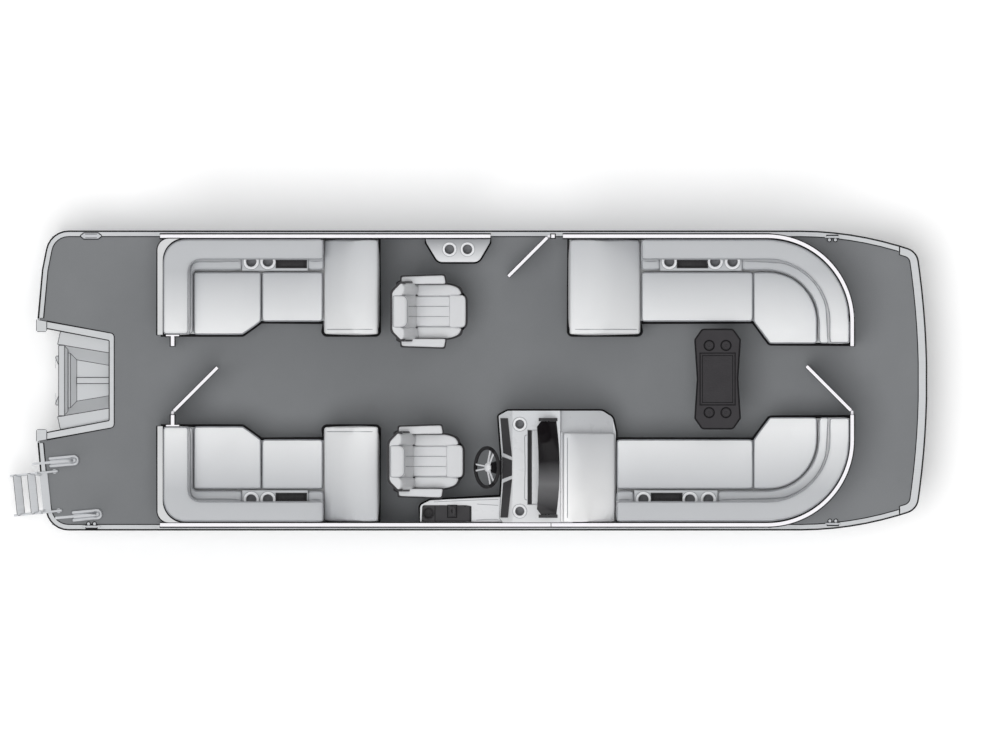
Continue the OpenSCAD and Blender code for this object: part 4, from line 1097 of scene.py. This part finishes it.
def table_details():
    """A rubber edge round the table, frames round its tray and ribs on the tray's floor."""
    low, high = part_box("table_top")
    mid = (low + high) / 2
    bezel, mat = Build(), Build()
    beads("table_edge", [widest("table_top", high.z)], 0.0105, 0.003, 0.014, 1.3, body="table")
    floor = high.z - 0.008
    frame_strip(bezel, (mid.x - 0.128, mid.y - 0.201), (mid.x + 0.128, mid.y + 0.201), floor, 0.006, 0.003)
    frame_strip(bezel, (mid.x - 0.149, mid.y - 0.222), (mid.x + 0.149, mid.y + 0.222), high.z, 0.008, 0.0025)
    bezel.make("table_tray_frame", "rubber", "table")
    for k in range(26):
        y = mid.y - 0.19 + 0.38 * k / 25
        mat.block((mid.x - 0.118, y - 0.0022, floor - 0.001), (mid.x + 0.118, y + 0.0022, floor + 0.002), 0.0008)
    mat.make("table_tray_ribs", "table", "table")


def creases(name, node, r, angle, keep, body="hull", slot="dark_plastic"):
    """Sealant beads along the sharp edges of a CAD node that keep() accepts."""
    build = Build()
    for solid in solids(node):
        bm = to_bmesh(solid)
        for e in bm.edges:
            a, b = e.verts[0].co, e.verts[1].co
            sharp = len(e.link_faces) == 2 and e.calc_face_angle() > math.radians(angle)
            if sharp and (a - b).length > 0.012 and keep(a) and keep(b):
                build.tube([a, a.lerp(b, 0.5), b], r, 6, up=Vector((0.31, 0.17, 0.93)))
        bm.free()
    build.make(name, "sealant", body, slot)


def motor_well():
    """Sealed seams in the motor pod and on the transom, and rings round the motor's bolt holes."""
    creases("motor_pod_seams", "motor_pod", 0.0032, 9, lambda v: v.z > DECK - 0.20 and v.x > -3.60, slot="painted_hull")
    creases("transom_seams", "transom", 0.0032, 20, lambda v: v.z > DECK - 0.065, slot="painted_hull")
    bolts = Build()
    for y, z in ((0.1635, -0.090), (-0.1635, -0.090), (0.1254, -0.290), (-0.1254, -0.290)):
        bolts.lathe([(0.0068, -0.002), (0.017, -0.002), (0.017, 0.0015), (0.012, 0.003), (0.0068, 0.003)],
                    (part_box("transom")[0].x - 0.0005, y, DECK + z), -AHEAD, 24, True)
    bolts.make("transom_bolt_rings", "polished", slot="polished_metal")


def fittings():
    """Rubber edging on the ladder's treads, the cleats and the stern castings."""
    creases("tread_edging", "ladder_treads", 0.0024, 50, lambda v: True, "ladder")
    creases("cleat_edging", "cleats", 0.0018, 50, lambda v: v.z > DECK + 0.006)
    feet = [loop for loop in rims("cleats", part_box("cleats")[0].z, -1) if len(loop) > 3]
    beads("cleat_gaskets", feet, 0.0045, 0.003, -0.0015, sides=6)
    creases("casting_edging", "stern_castings", 0.0026, 50, lambda v: v.z > DECK - 0.001)


def hull_welds():
    """Weld beads round the float tubes, and a drain plug in each stern cap."""
    welds, plugs = Build(), Build()
    radius = 0.305
    for side in ("port", "starboard"):
        low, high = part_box(f"{side}_pontoon")
        y, z = (low.y + high.y) / 2, low.z + 0.032 + radius
        for x, r in ((low.x + 0.003, radius), (-1.60, radius), (0.42, radius), (2.435, radius + 0.004),
                     (2.533, radius - 0.002)):
            welds.tube(hoop((x, y, z), r, 72, TO_PORT, UP), 0.0042, 6, loop=True, up=AHEAD)
        plug = (low.x, y, z - 0.235)
        plugs.lathe([(0.030, -0.002), (0.030, 0.002), (0.028, 0.0035), (0.018, 0.004)], plug, -AHEAD, 32)
        plugs.lathe([(0.0165, 0.002), (0.0165, 0.008), (0.0150, 0.0095)], plug, -AHEAD, 6)
    welds.make("tube_welds", "alloy", slot="hull_alloy")
    plugs.make("drain_plugs", "polished", slot="polished_metal", smooth=30)


# ---- Camera, lights and floor ----
def background_share(tree):
    """1 for rays straight from the camera, off metal or through glass, which see the background as white."""
    seen = tree.nodes.new("ShaderNodeLightPath")
    total = seen.outputs["Is Camera Ray"]
    for ray in ("Is Glossy Ray", "Is Transmission Ray"):
        most = tree.nodes.new("ShaderNodeMath")
        most.operation = "MAXIMUM"
        tree.links.new(total, most.inputs[0])
        tree.links.new(seen.outputs[ray], most.inputs[1])
        total = most.outputs[0]
    return total


def stage():
    """A camera straight above, two soft suns, a pale world and a pale floor."""
    camera = link(bpy.data.objects.new("camera", bpy.data.cameras.new("camera")))
    put(camera.data, type="ORTHO", ortho_scale=VIEW_WIDTH)
    camera.location = CAMERA_AT
    scene.camera = camera
    for name, (tilt, strength, spread) in LAMPS.items():
        lamp = link(bpy.data.objects.new(name, bpy.data.lights.new(name, "SUN")))
        put(lamp.data, energy=strength, angle=math.radians(spread))
        put(lamp, rotation_euler=[math.radians(a) for a in tilt], visible_glossy=False)
    scene.world = bpy.data.worlds.new("studio")
    scene.world.use_nodes = True
    tree = scene.world.node_tree
    strength = tree.nodes.new("ShaderNodeMapRange")
    tree.links.new(background_share(tree), strength.inputs["Value"])
    strength.inputs["To Min"].default_value = WORLD_LIGHT
    strength.inputs["To Max"].default_value = 1.0
    back = tree.nodes["Background"]
    back.inputs["Color"].default_value = (1, 1, 1, 1)
    tree.links.new(strength.outputs["Result"], back.inputs["Strength"])
    mesh = bpy.data.meshes.new("floor")
    reach = FLOOR_REACH
    mesh.from_pydata([(-reach, -reach, 0), (reach, -reach, 0), (reach, reach, 0), (-reach, reach, 0)], [],
                     [[0, 1, 2, 3]])
    pale = Shader("floor_paint", (252, 252, 252), 0.9)
    pale.stain(pale.noise(0.6, 2.0), 0.4, 0.7, 0.05, (246, 246, 247))
    lift = pale.maths("MULTIPLY", background_share(pale.tree), FLOOR_LIFT)
    pale.feed(((pale.bsdf.inputs["Emission Color"], (1, 1, 1, 1)), (pale.bsdf.inputs["Emission Strength"], lift)))
    mesh.materials.append(pale.mat)
    link(bpy.data.objects.new("floor", mesh))
    scene.view_settings.view_transform = "Standard"


stage()
lounge_pads()
chair_pads()
inflate_pads()
helm_chair_pads()
lounge_piping()
chair_shell("port_chair", PORT_CHAIR)
chair_shell("helm_chair", HELM_CHAIR)
for part in (steering, console_details, side_console_details, table_details, motor_well, fittings, base_bumpers, cups,
             deck_edging, fence_beads, hull_welds, finish_cad):
    part()
